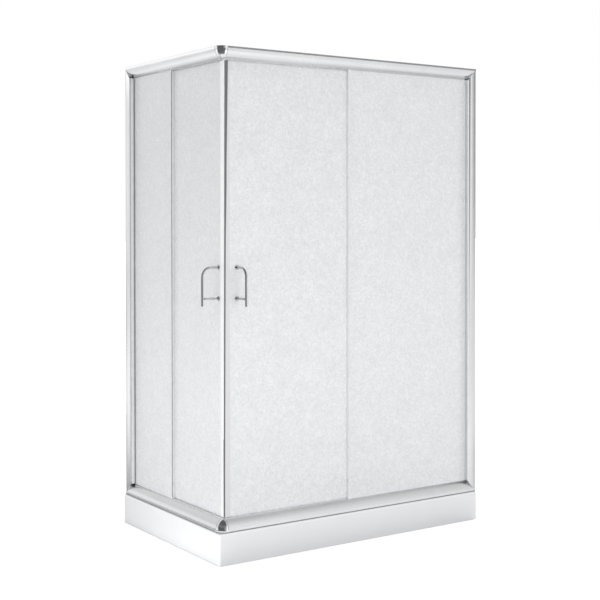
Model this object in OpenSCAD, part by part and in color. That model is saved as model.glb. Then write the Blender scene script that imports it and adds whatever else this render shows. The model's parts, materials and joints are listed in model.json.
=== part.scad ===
// Corner shower cabin: a low tray and two glazed sides that meet at a corner, with a sliding door in each.
// A side is drawn in its own directions: u runs along it from the corner, v runs inwards, z runs up.

/* [Whole cabin] */
// Length of the tray along the long glazed side
tray_long = 1200; // [1100:10:1400]
// Length of the tray along the short glazed side
tray_short = 800; // [760:10:1000]
// Height of the tray rim above the floor
tray_h = 116; // [112:1:150]
// Height of the whole cabin above the floor
cabin_h = 1850; // [1500:10:2100]

/* [Tray] */
// Distance from the face of the rails out to the edge of the tray
rail_setback = 8; // [4:1:16]
// Thickness of the moulded tray
tray_wall = 5; // [4:0.5:6]
// Height of the tray floor above the ground
tray_floor_z = 72; // [70:1:80]
// Height of the open lower edge of the skirts above the ground
skirt_z = 2; // [1:0.5:6]
// Height of the open lower edge at the two walls
wall_skirt_z = 84; // [70:1:90]
// Upright corner radius of the tray
tray_corner_r = 8; // [8:1:30]
// Radius along the upper edge of the tray
tray_edge_r = 6; // [5.5:0.5:7]
// Width of the ledge between the rails and the basin
rail_ledge = 12; // [5:1:30]
// Width of the ledge between the walls and the basin
wall_ledge = 45; // [42:1:70]
// Upright corner radius of the basin
basin_corner_r = 60; // [56:1:90]
// Radius where the basin walls meet the floor
basin_foot_r = 22; // [16:1:22]

/* [Tray support] */
// Thickness of the board under the basin
board_t = 12; // [9:1:14]
// Distance from the basin edge in to the board edge
board_inset = 45; // [40:1:80]
// Height of the support tubes
tube_h = 20; // [16:1:20]
// Width of the support tubes
tube_w = 40; // [30:1:50]
// Wall of the support tubes
tube_wall = 2; // [1.5:0.5:3]
// Radius of the threaded legs
leg_r = 5; // [4:0.5:6]
// Radius of the foot pads
foot_r = 22; // [15:1:30]
// Height of the foot pads
foot_h = 8; // [5:1:10]
// Distance from the corner to the outer support tubes
tube_end = 160; // [140:5:220]
// Distance between the two middle support tubes
tube_middle_gap = 340; // [280:5:400]
// Distance from the ends of a support tube to its legs
leg_end = 60; // [50:5:120]

/* [Drain] */
// Distance from the wall behind the long side to the middle of the drain
drain_wall = 190; // [160:5:260]
// Radius of the hole in the tray
drain_hole_r = 45; // [43:0.5:47]
// Inner radius of the waste pipe socket
pipe_r = 20; // [16:0.5:20]
// Wall of the waste pipe socket
pipe_wall = 2.5; // [2:0.5:3]
// Length of the waste pipe socket from the middle of the drain
pipe_reach = 110; // [80:5:150]
// Radius of the drain cover
cover_r = 55; // [50:1:60]
// Height of the water gap under the drain cover
cover_gap = 4; // [3:0.5:6]
// Thickness of the drain cover
cover_t = 3; // [2:0.5:4]

/* [Rails] */
// Height of a rail
rail_h = 46; // [45:0.5:48]
// Depth of a rail from its outer face to its inner face
rail_depth = 63; // [62.5:0.5:75]
// Wall of the rails and posts
rail_wall = 1.6; // [1.2:0.1:1.8]
// Radius of the curved face of a rail
rail_round_r = 48; // [47:0.5:52]
// Upright part of the face below the curve
rail_foot = 4; // [3:0.5:5]
// Height of the inner lip of a rail
lip_h = 36; // [35.5:0.5:38]
// Thickness of the inner lip
lip_t = 2; // [1.6:0.1:2.4]
// Thickness of the rib that the wheels run on
rib_t = 1.6; // [1.2:0.1:2]
// Side length of the corner connectors
corner_size = 33; // [33:1:36]
// How far the corner connectors stand out from the rails
corner_proud = 0.8; // [0.4:0.1:1.5]
// Length of the connector tongues inside the rails
tenon_l = 25; // [15:1:35]

/* [Posts at the walls] */
// Width of a post
post_w = 40; // [38:1:50]
// Radius of the curved face of a post
post_round_r = 70; // [60:1:90]
// Depth of the glass slot in a post
post_slot = 12; // [10:1:12]
// Distance from the face of the rails to the wall channel
channel_v = 8; // [7:0.5:9]
// Width of the wall channel
channel_w = 44; // [40:1:44]
// Depth of the wall channel
channel_depth = 22; // [16:1:22]
// Thickness of the wall channel
channel_t = 1.6; // [1.2:0.1:2]
// Radius of the wall screw holes
wall_hole_r = 2.75; // [2.25:0.25:4]
// Distance from the channel ends to the first wall screw hole
wall_hole_end = 117; // [60:1:200]

/* [Glass] */
// Thickness of all the glass
glass_t = 5; // [4:0.5:5]
// Distance from the face of the rails to the fixed glass
fixed_glass_v = 25; // [25:0.5:25.5]
// Distance from the face of the rails to the door glass
door_glass_v = 37; // [36.5:0.5:37]
// Thickness of the gaskets in the glass slots
gasket_t = 1; // [0.8:0.1:1.2]
// Depth of the glass slot in a rail
slot_depth = 18; // [12:1:18]
// Visible width of the fixed glass in the long side
long_fixed_w = 578; // [500:1:590]
// Visible width of the fixed glass in the short side
short_fixed_w = 326; // [300:1:334]
// Width by which a door overlaps its fixed glass
door_overlap = 35; // [25:1:45]
// Distance from the corner to the front edge of a door glass
door_start = 52; // [50:1:56]
// Distance from the outer edge of a rail to the hidden edge of a door glass
door_hide = 8; // [6:1:10]

/* [Seals] */
// Thickness of the seal legs on the glass
seal_t = 1.4; // [1:0.1:1.6]
// Length of the seal legs on the glass
seal_grip = 8; // [6:1:12]
// How far the magnet nose stands out in front of the door glass
nose_out = 3.5; // [3:0.5:4]
// Width of the flat front of the magnet nose
nose_w = 13; // [11:0.5:14]

/* [Wheels and guides] */
// Radius of a wheel at the bottom of its groove
wheel_r = 10; // [9:0.5:10]
// Height of the flanges beside the groove
flange_h = 1.5; // [1:0.1:2]
// Width of a wheel
wheel_w = 8; // [7:0.5:8]
// Width of the groove
groove_w = 3; // [3:0.1:4]
// Distance from the outer edge of a rail to the wheel axles
axle_h = 21; // [20.5:0.5:21]
// Distance from the face of the rails to the middle of the wheels
track_v = 55.2; // [55:0.1:55.6]
// Radius of the hanger axles
hanger_axle_r = 4; // [3:0.5:4]
// Radius of the guide axles
guide_axle_r = 3; // [2.5:0.5:4]
// Distance from the ends of a door glass to its wheels
wheel_inset = 80; // [60:5:100]
// Travel of the push buttons
button_travel = 6; // [4:0.5:6]
// Radius of the push buttons
button_r = 4.6; // [4:0.1:4.6]

/* [Handles] */
// Radius of the handle rod
rod_r = 4.25; // [3.5:0.25:6]
// Distance from the middle of the door glass out to the middle of the bar
handle_standoff = 69; // [55:1:80]
// Distance from the corner to the handle of the long door
long_handle_u = 90; // [74:1:90]
// Distance from the corner to the handle of the short door
short_handle_u = 76; // [74:1:90]
// Height of the upper arm above the floor
handle_arm_z = 1061; // [980:1:1200]
// Distance between the upper arm and the lower post
handle_pitch = 112; // [90:1:200]
// Length of the bar below the lower post
handle_tail = 27; // [15:1:60]
// Radius of the bend between the bar and the upper arm
handle_bend_r = 34; // [20:1:40]
// Radius of the discs against the glass
rosette_r = 9; // [8:0.5:10]

/* [Hidden] */
$fn = 48;

// Gap that moving faces keep
run_gap = 0.3;
// Radial fit of the wheels on their axles
axle_fit = 0.05;
// Radial clearance of a screw or stud in its hole
hole_fit = 0.2;
// Depth by which a cutting shape passes the face that it opens
over = 1;

// Lengths of the two sides from the corner of the rails to the walls
wall_long = tray_long - rail_setback;
wall_short = tray_short - rail_setback;
function wall_of(is_short) = is_short ? wall_short : wall_long;
function rail_end(is_short) = wall_of(is_short) - post_w;
function fixed_start(is_short) = rail_end(is_short) - (is_short ? short_fixed_w : long_fixed_w);
function door_end(is_short) = fixed_start(is_short) + door_overlap;
function handle_u(is_short) = is_short ? short_handle_u : long_handle_u;
function wheel_u(is_short, is_rear) = is_rear ? door_end(is_short) - wheel_inset : door_start + wheel_inset;

// Distance that the handles reach out past the face of the rails
bar_v = door_glass_v + glass_t / 2 - handle_standoff;
handle_reach = rod_r - bar_v;

// Glass slot and track of a rail
slot_front = fixed_glass_v - gasket_t;
slot_back = fixed_glass_v + glass_t + gasket_t;
slot_floor = rail_h - slot_depth;
fixed_back_v = fixed_glass_v + glass_t;
door_back_v = door_glass_v + glass_t;
rib_h = axle_h + wheel_r + run_gap;
wheel_outer_r = wheel_r + flange_h;
wheel_front = track_v - wheel_w / 2;
wheel_back = track_v + wheel_w / 2;
lip_reach = 3.7;
lip_v = track_v - lip_reach;

// Screw ports in the rails
port_front = 12;
port_behind = 3.5;
port_v = [port_front, slot_front + port_behind];
port_h = 4.8;
port_r = 3.6;
screw_r = 1.9;
screw_engage = 14;

// Connector tongues inside the two chambers of a rail
tongue_low = 9;
tongue_high = 25;
tongue_front = 9;
tongue_gap = 0.4;

// Guide housing, carrier and push button
housing_w = 30;
housing_t = 3;
housing_low = 14;
housing_high = 44;
roof_t = 3;
carrier_v = door_back_v + housing_t + run_gap;
carrier_t = 3.4;
carrier_w = 23.4;
carrier_top = 40;
keeper_w = 3;
keeper_t = 1.5;
cheek_v = carrier_v + carrier_t + run_gap;
stem_v = carrier_v + carrier_t / 2;
stem_r = 2.2;
button_low = housing_high + button_travel + 4;
button_h = 6;
spring_in_r = stem_r + run_gap;
spring_out_r = spring_in_r + 1.1;
guide_bolt_h = 28;
bolt_r = 4;
bolt_head_r = 7;
bolt_head_t = 3;

// Tray basin and what lies under it
basin_a = [rail_depth + rail_ledge, rail_depth + rail_ledge];
basin_b = [wall_long - wall_ledge, wall_short - wall_ledge];
tray_a = [-rail_setback, -rail_setback];
tray_b = [wall_long, wall_short];
tray_inner_r = tray_corner_r - tray_wall;
tray_inner_edge_r = 0.5;
board_top = tray_floor_z - tray_wall;
tube_top = board_top - board_t;
tube_low = tube_top - tube_h;
tube_middle = (wall_long - rail_setback) / 2;
tube_x = [
    tube_end,
    tube_middle - tube_middle_gap / 2,
    tube_middle + tube_middle_gap / 2,
    wall_long - rail_setback - tube_end
];
tube_y0 = basin_a.y + board_inset;
tube_y1 = basin_b.y - board_inset;
leg_y = [tube_y0 + leg_end, tube_y1 - leg_end];
nut_h = 7;
nut_r = 1.75 * leg_r;

// Drain, measured down from the tray floor
drain_x = tube_middle;
drain_y = wall_short - drain_wall;
recess_depth = 3;
recess_r = drain_hole_r + 13;
boss_z = board_top - 5;
drain_seal_t = 2;
trap_flange_t = 4;
trap_top = boss_z - drain_seal_t;
trap_low = 12;
trap_wall = 3;
trap_r = drain_hole_r - 0.5;
socket_start = trap_r + 3;
passage_r = pipe_r - 3;
pipe_z = trap_low + trap_wall + pipe_r;
sleeve_r = trap_r - trap_wall - run_gap;
sleeve_in_r = sleeve_r - 5;
sleeve_low = trap_top - 6;
step_z = board_top - 4;
step_t = 3;
step_r = sleeve_in_r - 3;
basket_r = step_r - run_gap;
basket_wall = 2;
basket_low = trap_low + 12;
basket_rim_z = step_z + run_gap;
basket_rim_t = 2.5;
cover_z = tray_floor_z + cover_gap;

// Puts the corner of the rails where it belongs, with the whole cabin centred over the origin
module place() {
    translate([-(wall_long - handle_reach) / 2, -(wall_short - handle_reach) / 2, 0]) children();
}

// Turns a long side into a short side by swapping its two plan directions
module on_side(is_short) {
    if (is_short) mirror([1, -1, 0]) children();
    else children();
}

// Stands a rail shape on the tray, or hangs it upside down from the top
module at_level(is_top) {
    if (is_top) translate([0, 0, cabin_h]) mirror([0, 0, 1]) children();
    else translate([0, 0, tray_h]) children();
}

// Runs a flat section of v and height along the side
module along(u0, u1) {
    translate([u0, 0, 0]) rotate([90, 0, 90]) linear_extrude(u1 - u0) children();
}

// Box between two limits in each direction
module block(u, v, z) {
    translate([u[0], v[0], z[0]]) cube([u[1] - u[0], v[1] - v[0], z[1] - z[0]]);
}

// Round bar that runs inwards from v0 to v1
module across(u, z, v0, v1, r) {
    translate([u, v0, z]) rotate([-90, 0, 0]) cylinder(h = v1 - v0, r = r);
}

// Ring that runs inwards from v0 to v1
module ring_across(u, z, v0, v1, r_in, r_out) {
    difference() {
        across(u, z, v0, v1, r_out);
        across(u, z, v0 - over, v1 + over, r_in);
    }
}

// Upright ring
module ring(z0, z1, r_in, r_out) {
    difference() {
        translate([0, 0, z0]) cylinder(h = z1 - z0, r = r_out);
        translate([0, 0, z0 - over]) cylinder(h = z1 - z0 + 2 * over, r = r_in);
    }
}

// Flat outline between two corners, with round corners
module outline(a, b, r) {
    translate([a.x + r, a.y]) square([b.x - a.x - 2 * r, b.y - a.y]);
    translate([a.x, a.y + r]) square([b.x - a.x, b.y - a.y - 2 * r]);
    for (x = [a.x + r, b.x - r], y = [a.y + r, b.y - r]) translate([x, y]) circle(r);
}

// Upright section of an edge that is rounded at its outer upper corner
module edge_section(reach, z0, z1, e) {
    translate([0, z0]) square([reach, z1 - e - z0]);
    translate([0, z0]) square([reach - e, z1 - z0]);
    translate([reach - e, z1 - e]) circle(e);
}

// Section from wall to wall with both upper corners rounded
module band_section(lo, hi, z0, z1, e) {
    half = (hi - lo) / 2;
    translate([lo + half, 0]) {
        edge_section(half, z0, z1, e);
        mirror([1, 0]) edge_section(half, z0, z1, e);
    }
}

// Slab with upright corners of radius r and an upper edge of radius e
module soft_slab(a, b, z0, z1, r, e) {
    along(a.x + r, b.x - r) band_section(a.y, b.y, z0, z1, e);
    translate([0, b.y - r, 0]) rotate([90, 0, 0])
        linear_extrude(b.y - a.y - 2 * r) band_section(a.x, b.x, z0, z1, e);
    corners = [
        [b.x - r, b.y - r, 0], [a.x + r, b.y - r, 90],
        [a.x + r, a.y + r, 180], [b.x - r, a.y + r, 270]
    ];
    for (c = corners)
        translate([c[0], c[1], 0]) rotate([0, 0, c[2]])
            rotate_extrude(angle = 90) edge_section(r, z0, z1, e);
}

// Space of the basin, grown outwards by the given amount
module basin_space(grow) {
    mirror([0, 0, 1])
        soft_slab(
            [basin_a.x - grow, basin_a.y - grow], [basin_b.x + grow, basin_b.y + grow],
            -tray_h - over, grow - tray_floor_z, basin_corner_r + grow, basin_foot_r + grow
        );
}

module tray() {
    color("white") place() difference() {
        union() {
            difference() {
                soft_slab(tray_a, tray_b, skirt_z, tray_h, tray_corner_r, tray_edge_r);
                difference() {
                    soft_slab(
                        [tray_a.x + tray_wall, tray_a.y + tray_wall],
                        [tray_b.x - tray_wall, tray_b.y - tray_wall],
                        skirt_z - over, tray_h - tray_wall, tray_inner_r, tray_inner_edge_r
                    );
                    basin_space(tray_wall);
                }
            }
            translate([drain_x, drain_y, boss_z]) cylinder(h = tray_wall + 1, r = recess_r + 5);
        }
        basin_space(0);
        translate([drain_x, drain_y, boss_z - over]) cylinder(h = tray_h, r = drain_hole_r);
        translate([drain_x, drain_y, tray_floor_z - recess_depth]) cylinder(h = tray_h, r = recess_r);
        // Open lower edges at the two walls
        block(
            [wall_long - 2 * tray_wall, wall_long + over], [tray_a.y + tray_corner_r, wall_short + over],
            [skirt_z - over, wall_skirt_z]
        );
        block(
            [tray_a.x + tray_corner_r, wall_long + over], [wall_short - 2 * tray_wall, wall_short + over],
            [skirt_z - over, wall_skirt_z]
        );
    }
}

module tray_board() {
    color("burlywood") place() translate([0, 0, tube_top]) linear_extrude(board_t) difference() {
        outline(
            [basin_a.x + board_inset, basin_a.y + board_inset],
            [basin_b.x - board_inset, basin_b.y - board_inset],
            basin_foot_r
        );
        translate([drain_x, drain_y]) circle(recess_r + 10);
        // Notch over the waste pipe
        translate([drain_x - pipe_r - 3 * pipe_wall, drain_y])
            square([2 * pipe_r + 6 * pipe_wall, pipe_reach]);
    }
}

module tray_support_tubes() {
    color("gray") place() for (x = tube_x) difference() {
        block([x - tube_w / 2, x + tube_w / 2], [tube_y0, tube_y1], [tube_low, tube_top]);
        block(
            [x - tube_w / 2 + tube_wall, x + tube_w / 2 - tube_wall], [tube_y0 - over, tube_y1 + over],
            [tube_low + tube_wall, tube_top - tube_wall]
        );
        for (y = leg_y)
            translate([x, y, tube_low - over]) cylinder(h = tube_wall + 2 * over, r = leg_r + hole_fit);
    }
}

// Repeats its children at every leg
module at_legs() {
    place() for (x = tube_x, y = leg_y) translate([x, y, 0]) children();
}

module leg_rods() {
    color("silver") at_legs() translate([0, 0, foot_h / 2])
        cylinder(h = tube_top - tube_wall - foot_h / 2, r = leg_r);
}

module foot_pads() {
    color("dimgray") at_legs() difference() {
        rotate_extrude()
            polygon([[0, 0], [foot_r, 0], [foot_r, foot_h / 2], [foot_r * 0.6, foot_h], [0, foot_h]]);
        translate([0, 0, foot_h / 2]) cylinder(h = foot_h, r = leg_r);
    }
}

module leg_nuts() {
    color("silver") at_legs() for (z = [tube_low - nut_h, tube_low + tube_wall]) difference() {
        translate([0, 0, z]) cylinder(h = nut_h, r = nut_r, $fn = 6);
        translate([0, 0, z - over]) cylinder(h = nut_h + 2 * over, r = leg_r + axle_fit);
    }
}

module at_drain() {
    place() translate([drain_x, drain_y, 0]) children();
}

module drain_trap() {
    color("lightgray") at_drain() difference() {
        union() {
            translate([0, 0, trap_low]) cylinder(h = trap_top - trap_low, r = trap_r);
            translate([0, 0, trap_top - trap_flange_t]) cylinder(h = trap_flange_t, r = recess_r + 3);
            translate([0, 0, pipe_z]) rotate([-90, 0, 0]) cylinder(h = pipe_reach, r = pipe_r + pipe_wall);
        }
        translate([0, 0, trap_low + trap_wall]) cylinder(h = trap_top, r = trap_r - trap_wall);
        // Passage out of the trap, and the wider socket that the waste pipe is pushed into
        translate([0, 0, pipe_z]) rotate([-90, 0, 0]) cylinder(h = pipe_reach, r = passage_r);
        translate([0, socket_start, pipe_z]) rotate([-90, 0, 0]) cylinder(h = pipe_reach, r = pipe_r);
    }
}

module drain_seal() {
    color("black") at_drain() ring(trap_top, boss_z, trap_r, recess_r);
}

module drain_flange() {
    color("silver") at_drain() {
        ring(tray_floor_z - recess_depth, tray_floor_z, sleeve_in_r, recess_r - run_gap);
        ring(sleeve_low, tray_floor_z, sleeve_in_r, sleeve_r);
        ring(step_z - step_t, step_z, step_r, sleeve_in_r + 1);
    }
}

module hair_basket() {
    color("dimgray") at_drain() difference() {
        union() {
            translate([0, 0, basket_low])
                cylinder(h = basket_rim_z + basket_rim_t - basket_low, r = basket_r);
            translate([0, 0, basket_rim_z]) cylinder(h = basket_rim_t, r = sleeve_in_r - run_gap);
        }
        difference() {
            translate([0, 0, basket_low + basket_wall]) cylinder(h = tray_h, r = basket_r - basket_wall);
            translate([0, 0, basket_low]) cylinder(h = 3 * basket_wall, r = 7);
        }
        for (turn = [0 : 60 : 300])
            rotate([0, 0, turn]) translate([basket_r * 0.6, 0, basket_low - over])
                cylinder(h = 4 * over, r = 5);
    }
}

module drain_cover() {
    color("silver") at_drain() {
        rotate_extrude()
            polygon([
                [0, cover_z], [cover_r - 1, cover_z], [cover_r, cover_z + 1],
                [cover_r - 2, cover_z + cover_t],
                [0, cover_z + cover_t]
            ]);
        translate([0, 0, basket_low + 3 * basket_wall])
            cylinder(h = cover_z - basket_low - 3 * basket_wall, r = 5);
        for (turn = [45 : 90 : 315])
            rotate([0, 0, turn]) translate([cover_r - 8, 0, tray_floor_z + run_gap])
                cylinder(h = cover_gap - run_gap, r = 3);
    }
}

// Flat section of the curved front of a rail, drawn in by the given amount
module front_section(inset) {
    intersection() {
        translate([inset, inset]) square([slot_front - 2 * inset, rail_h - inset]);
        union() {
            translate([rail_round_r, rail_foot]) circle(r = rail_round_r - inset, $fn = 96);
            translate([inset, 0]) square([slot_front, rail_foot]);
        }
    }
}

// Flat section of a rail: curved front, glass slot, track and lip, with its outer edge at height 0
module rail_section() {
    difference() {
        union() {
            difference() {
                front_section(0);
                front_section(rail_wall);
            }
            translate([slot_front - rail_wall, 0]) square([rail_depth - slot_front + rail_wall, rail_wall]);
            translate([slot_back, 0]) square([rail_wall, rail_h]);
            translate([slot_front - rail_wall, slot_floor - rail_wall])
                square([slot_back - slot_front + 2 * rail_wall, rail_wall]);
            translate([rail_depth - rail_wall, 0]) square([rail_wall, lip_h]);
            translate([lip_v, lip_h - lip_t]) square([rail_depth - lip_v, lip_t]);
            translate([track_v - rib_t / 2, rib_h]) square([rib_t, lip_h - rib_h]);
            for (v = port_v) translate([v, port_h]) circle(port_r);
        }
        for (v = port_v) translate([v, port_h]) circle(screw_r + axle_fit);
    }
}

// Rail with a square end at the connector and a mitre behind it
module rail(is_short, is_top) {
    color("gainsboro") place() on_side(is_short) at_level(is_top) difference() {
        along(corner_size, rail_end(is_short)) rail_section();
        translate([0, 0, -over]) linear_extrude(rail_h + 2 * over)
            polygon([
                [corner_size - over, corner_size], [corner_size, corner_size],
                [rail_depth + over, rail_depth + over], [corner_size - over, rail_depth + over]
            ]);
    }
}

// Section of the round corner piece, which stands a little proud of the rails
module connector_section() {
    intersection() {
        square([corner_size + corner_proud, rail_h]);
        union() {
            translate([corner_size - rail_round_r, rail_foot])
                circle(r = rail_round_r + corner_proud, $fn = 96);
            square([corner_size + corner_proud, rail_foot]);
        }
    }
}

// Round corner piece between two rails, with a tongue for each chamber of both rails
module corner_connector(is_top) {
    color("silver") place() at_level(is_top) {
        translate([corner_size, corner_size, 0]) rotate([0, 0, 180])
            rotate_extrude(angle = 90, $fn = 96) connector_section();
        for (is_short = [false, true]) on_side(is_short) {
            block(
                [corner_size - over, corner_size + tenon_l],
                [tongue_front, slot_front - rail_wall - 2 * tongue_gap],
                [tongue_low, tongue_high]
            );
            block(
                [corner_size - over, corner_size + tenon_l],
                [slot_front + tongue_gap, slot_back - tongue_gap],
                [tongue_low, slot_floor - rail_wall - tongue_gap]
            );
        }
    }
}

// Flat section of a post, measured from the wall, drawn in by the given amount
module post_outline(inset) {
    intersection() {
        translate([inset, inset]) square([post_w - 2 * inset, rail_depth - 2 * inset]);
        translate([post_w / 2, post_round_r]) circle(r = post_round_r - inset, $fn = 96);
    }
}

module post_section() {
    cavity = post_w - post_slot - rail_wall;
    front = channel_v - run_gap;
    back = channel_v + channel_w + run_gap;
    difference() {
        post_outline(0);
        translate([-over, front]) square([cavity + over, back - front]);
        translate([post_w - post_slot, slot_front]) square([post_slot + over, slot_back - slot_front]);
        intersection() {
            post_outline(rail_wall);
            union() {
                square([post_w, front - rail_wall]);
                translate([0, back + rail_wall]) square([post_w, rail_depth]);
                translate([post_w - post_slot, front]) square([post_slot, slot_front - rail_wall - front]);
                translate([post_w - post_slot, slot_back + rail_wall])
                    square([post_slot, back - slot_back - rail_wall]);
            }
        }
    }
}

// Runs its children from the wall of a side back towards the corner
module from_wall(is_short) {
    place() on_side(is_short) translate([wall_of(is_short), 0, 0]) mirror([1, 0, 0]) children();
}

// Heights of the screws that hold a post on its channel
function clamp_z() = [for (k = [1 : 3]) tray_h + k * (cabin_h - tray_h) / 4];
// Distance from the wall to those screws
clamp_w = channel_depth / 2;

module wall_post(is_short) {
    color("gainsboro") from_wall(is_short) difference() {
        translate([0, 0, tray_h]) linear_extrude(cabin_h - tray_h) post_section();
        for (v = port_v, z = [tray_h + port_h, cabin_h - port_h])
            translate([post_w - post_slot - rail_wall - over, v, z]) rotate([0, 90, 0])
                cylinder(h = post_slot + rail_wall + 2 * over, r = screw_r + hole_fit);
        for (z = clamp_z())
            across(clamp_w, z, channel_v + channel_w - over, rail_depth + over, screw_r + hole_fit);
    }
}

function wall_hole_z() =
    [for (k = [0 : 3]) tray_h + wall_hole_end + k * (cabin_h - tray_h - 2 * wall_hole_end) / 3];

module wall_channel(is_short) {
    color("darkgray") from_wall(is_short) difference() {
        translate([0, 0, tray_h]) linear_extrude(cabin_h - tray_h) difference() {
            translate([0, channel_v]) square([channel_depth, channel_w]);
            translate([channel_t, channel_v + channel_t])
                square([channel_depth, channel_w - 2 * channel_t]);
        }
        for (z = wall_hole_z())
            translate([-over, channel_v + channel_w / 2, z]) rotate([0, 90, 0])
                cylinder(h = channel_t + 2 * over, r = wall_hole_r);
        for (z = clamp_z())
            across(
                clamp_w, z, channel_v + channel_w - 2 * channel_t, channel_v + channel_w + over,
                screw_r + axle_fit
            );
    }
}

module frame_screws() {
    head_r = 3.7;
    head_t = 2.6;
    cavity = post_w - post_slot - rail_wall;
    color("silver") for (is_short = [false, true]) from_wall(is_short) {
        for (v = port_v, z = [tray_h + port_h, cabin_h - port_h]) {
            translate([cavity, v, z]) rotate([0, 90, 0])
                cylinder(h = post_w - cavity + screw_engage, r = screw_r);
            translate([cavity - head_t, v, z]) rotate([0, 90, 0]) cylinder(h = head_t, r = head_r);
        }
        for (z = clamp_z()) {
            across(clamp_w, z, channel_v + channel_w - channel_t - 2, rail_depth, screw_r);
            translate([clamp_w, rail_depth, z]) rotate([-90, 0, 0])
                rotate_extrude() polygon([[0, 0], [5, 0], [5, 1], [3.5, 2.4], [0, 2.8]]);
        }
    }
}

// Rubber blocks in the top rails that stop the wheels at both ends of their travel
stop_l = 15;
long_travel = 470;
short_travel = 280;
module door_stops() {
    color("black") for (is_short = [false, true]) {
        travel = is_short ? short_travel : long_travel;
        near = wheel_u(is_short, false) - wheel_outer_r - run_gap;
        far = wheel_u(is_short, true) + travel + wheel_outer_r + run_gap;
        place() on_side(is_short) at_level(true) for (u = [near - stop_l, far])
            block([u, u + stop_l], [wheel_front, rail_depth - rail_wall], [rail_wall, axle_h]);
    }
}

module fixed_glass(is_short) {
    color("lightblue", 0.6) place() on_side(is_short)
        block(
            [fixed_start(is_short), wall_of(is_short) - post_w + post_slot],
            [fixed_glass_v, fixed_back_v],
            [tray_h + slot_floor + gasket_t, cabin_h - slot_floor - gasket_t]
        );
}

module glass_gaskets() {
    color("gray") place() for (is_short = [false, true]) on_side(is_short) difference() {
        union() {
            for (is_top = [false, true]) at_level(is_top)
                block(
                    [fixed_start(is_short), rail_end(is_short)], [slot_front, slot_back], [slot_floor, rail_h]
                );
            block(
                [rail_end(is_short), rail_end(is_short) + post_slot], [slot_front, slot_back],
                [tray_h + slot_floor, cabin_h - slot_floor]
            );
        }
        block(
            [fixed_start(is_short) - over, rail_end(is_short) + post_slot + over],
            [fixed_glass_v, fixed_back_v],
            [tray_h + slot_floor + gasket_t, cabin_h - slot_floor - gasket_t]
        );
    }
}

// Upright strip between the rails, from a flat section of u and v
module upright_strip(end_gap) {
    translate([0, 0, tray_h + rail_h + end_gap])
        linear_extrude(cabin_h - tray_h - 2 * rail_h - 2 * end_gap) children();
}

module fixed_edge_seals() {
    color("whitesmoke") place() for (is_short = [false, true]) on_side(is_short) upright_strip(0) {
        start = fixed_start(is_short);
        // Strip over the polished edge, its leg on the inner face and its fin towards the door
        translate([start - seal_t, fixed_glass_v]) square([seal_t, door_glass_v - run_gap - fixed_glass_v]);
        translate([start - seal_t, fixed_back_v]) square([seal_grip + seal_t, seal_t]);
    }
}

module door_glass(is_short) {
    color("lightblue", 0.6) place() on_side(is_short) difference() {
        block(
            [door_start, door_end(is_short)], [door_glass_v, door_back_v],
            [tray_h + door_hide, cabin_h - door_hide]
        );
        for (is_rear = [false, true]) {
            u = wheel_u(is_short, is_rear);
            across(u, cabin_h - axle_h, door_glass_v - over, door_back_v + over, hanger_axle_r + hole_fit);
            across(u, tray_h + guide_bolt_h, door_glass_v - over, door_back_v + over, bolt_r + hole_fit);
        }
        for (z = [handle_arm_z, handle_arm_z - handle_pitch])
            across(handle_u(is_short), z, door_glass_v - over, door_back_v + over, bolt_r + hole_fit);
    }
}

// Strip on the front edge of a door, with a nose cut at 45 degrees to meet the other door
module magnet_seal(is_short) {
    front = door_glass_v - seal_t;
    back = door_back_v + seal_t;
    nose = door_glass_v - nose_out;
    lead = run_gap / 2 * sqrt(2);
    color("lightgray") place() on_side(is_short) upright_strip(1.5) difference() {
        polygon([
            [nose + lead, nose], [nose + nose_w, nose], [nose + nose_w, front],
            [door_start + seal_grip, front], [door_start + seal_grip, back], [back + lead, back]
        ]);
        translate([door_start, door_glass_v]) square([seal_grip + over, glass_t]);
    }
}

module overlap_seal(is_short) {
    end = door_end(is_short);
    color("whitesmoke") place() on_side(is_short) upright_strip(1.5) {
        difference() {
            translate([end - seal_grip, door_glass_v - seal_t])
                square([seal_grip + seal_t, glass_t + 2 * seal_t]);
            translate([end - seal_grip - over, door_glass_v]) square([seal_grip + over, glass_t]);
        }
        translate([end, fixed_back_v + run_gap]) square([seal_t, door_glass_v - fixed_back_v - run_gap]);
    }
}

module handle_bar(is_short) {
    rosette_v = door_glass_v - 2.5;
    low = handle_arm_z - handle_pitch - handle_tail;
    u = handle_u(is_short);
    color("silver") place() on_side(is_short) {
        // Bar, bend and upper arm
        translate([u, bar_v, low]) cylinder(h = handle_arm_z - handle_bend_r - low, r = rod_r);
        translate([u, bar_v + handle_bend_r, handle_arm_z - handle_bend_r])
            rotate([90, 0, -90]) rotate_extrude(angle = 90) translate([handle_bend_r, 0]) circle(rod_r);
        across(u, handle_arm_z, bar_v + handle_bend_r, rosette_v, rod_r);
        // Turned lower post
        translate([u, bar_v, handle_arm_z - handle_pitch]) rotate([-90, 0, 0]) rotate_extrude()
            polygon([
                [0, 0], [3, 0], [3, rod_r + 2], [rod_r, rod_r + 5], [rod_r, rosette_v - bar_v - 16],
                [3, rosette_v - bar_v - 12], [3, rosette_v - bar_v - 6],
                [rod_r + 1.5, rosette_v - bar_v - 3],
                [rod_r + 1.5, rosette_v - bar_v], [0, rosette_v - bar_v]
            ]);
    }
}

module handle_fixings(is_short) {
    u = handle_u(is_short);
    color("silver") place() on_side(is_short) for (z = [handle_arm_z, handle_arm_z - handle_pitch]) {
        // Disc on the outside and domed nut with its stud on the inside
        across(u, z, door_glass_v - 2.5, door_glass_v, rosette_r);
        across(u, z, door_glass_v, door_back_v, bolt_r);
        translate([u, door_back_v, z]) rotate([-90, 0, 0]) rotate_extrude()
            polygon([
                [0, 0], [rosette_r, 0], [rosette_r, 3], [rosette_r - 1.5, 5.5], [rosette_r - 4.5, 7], [0, 7.5]
            ]);
    }
}

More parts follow.
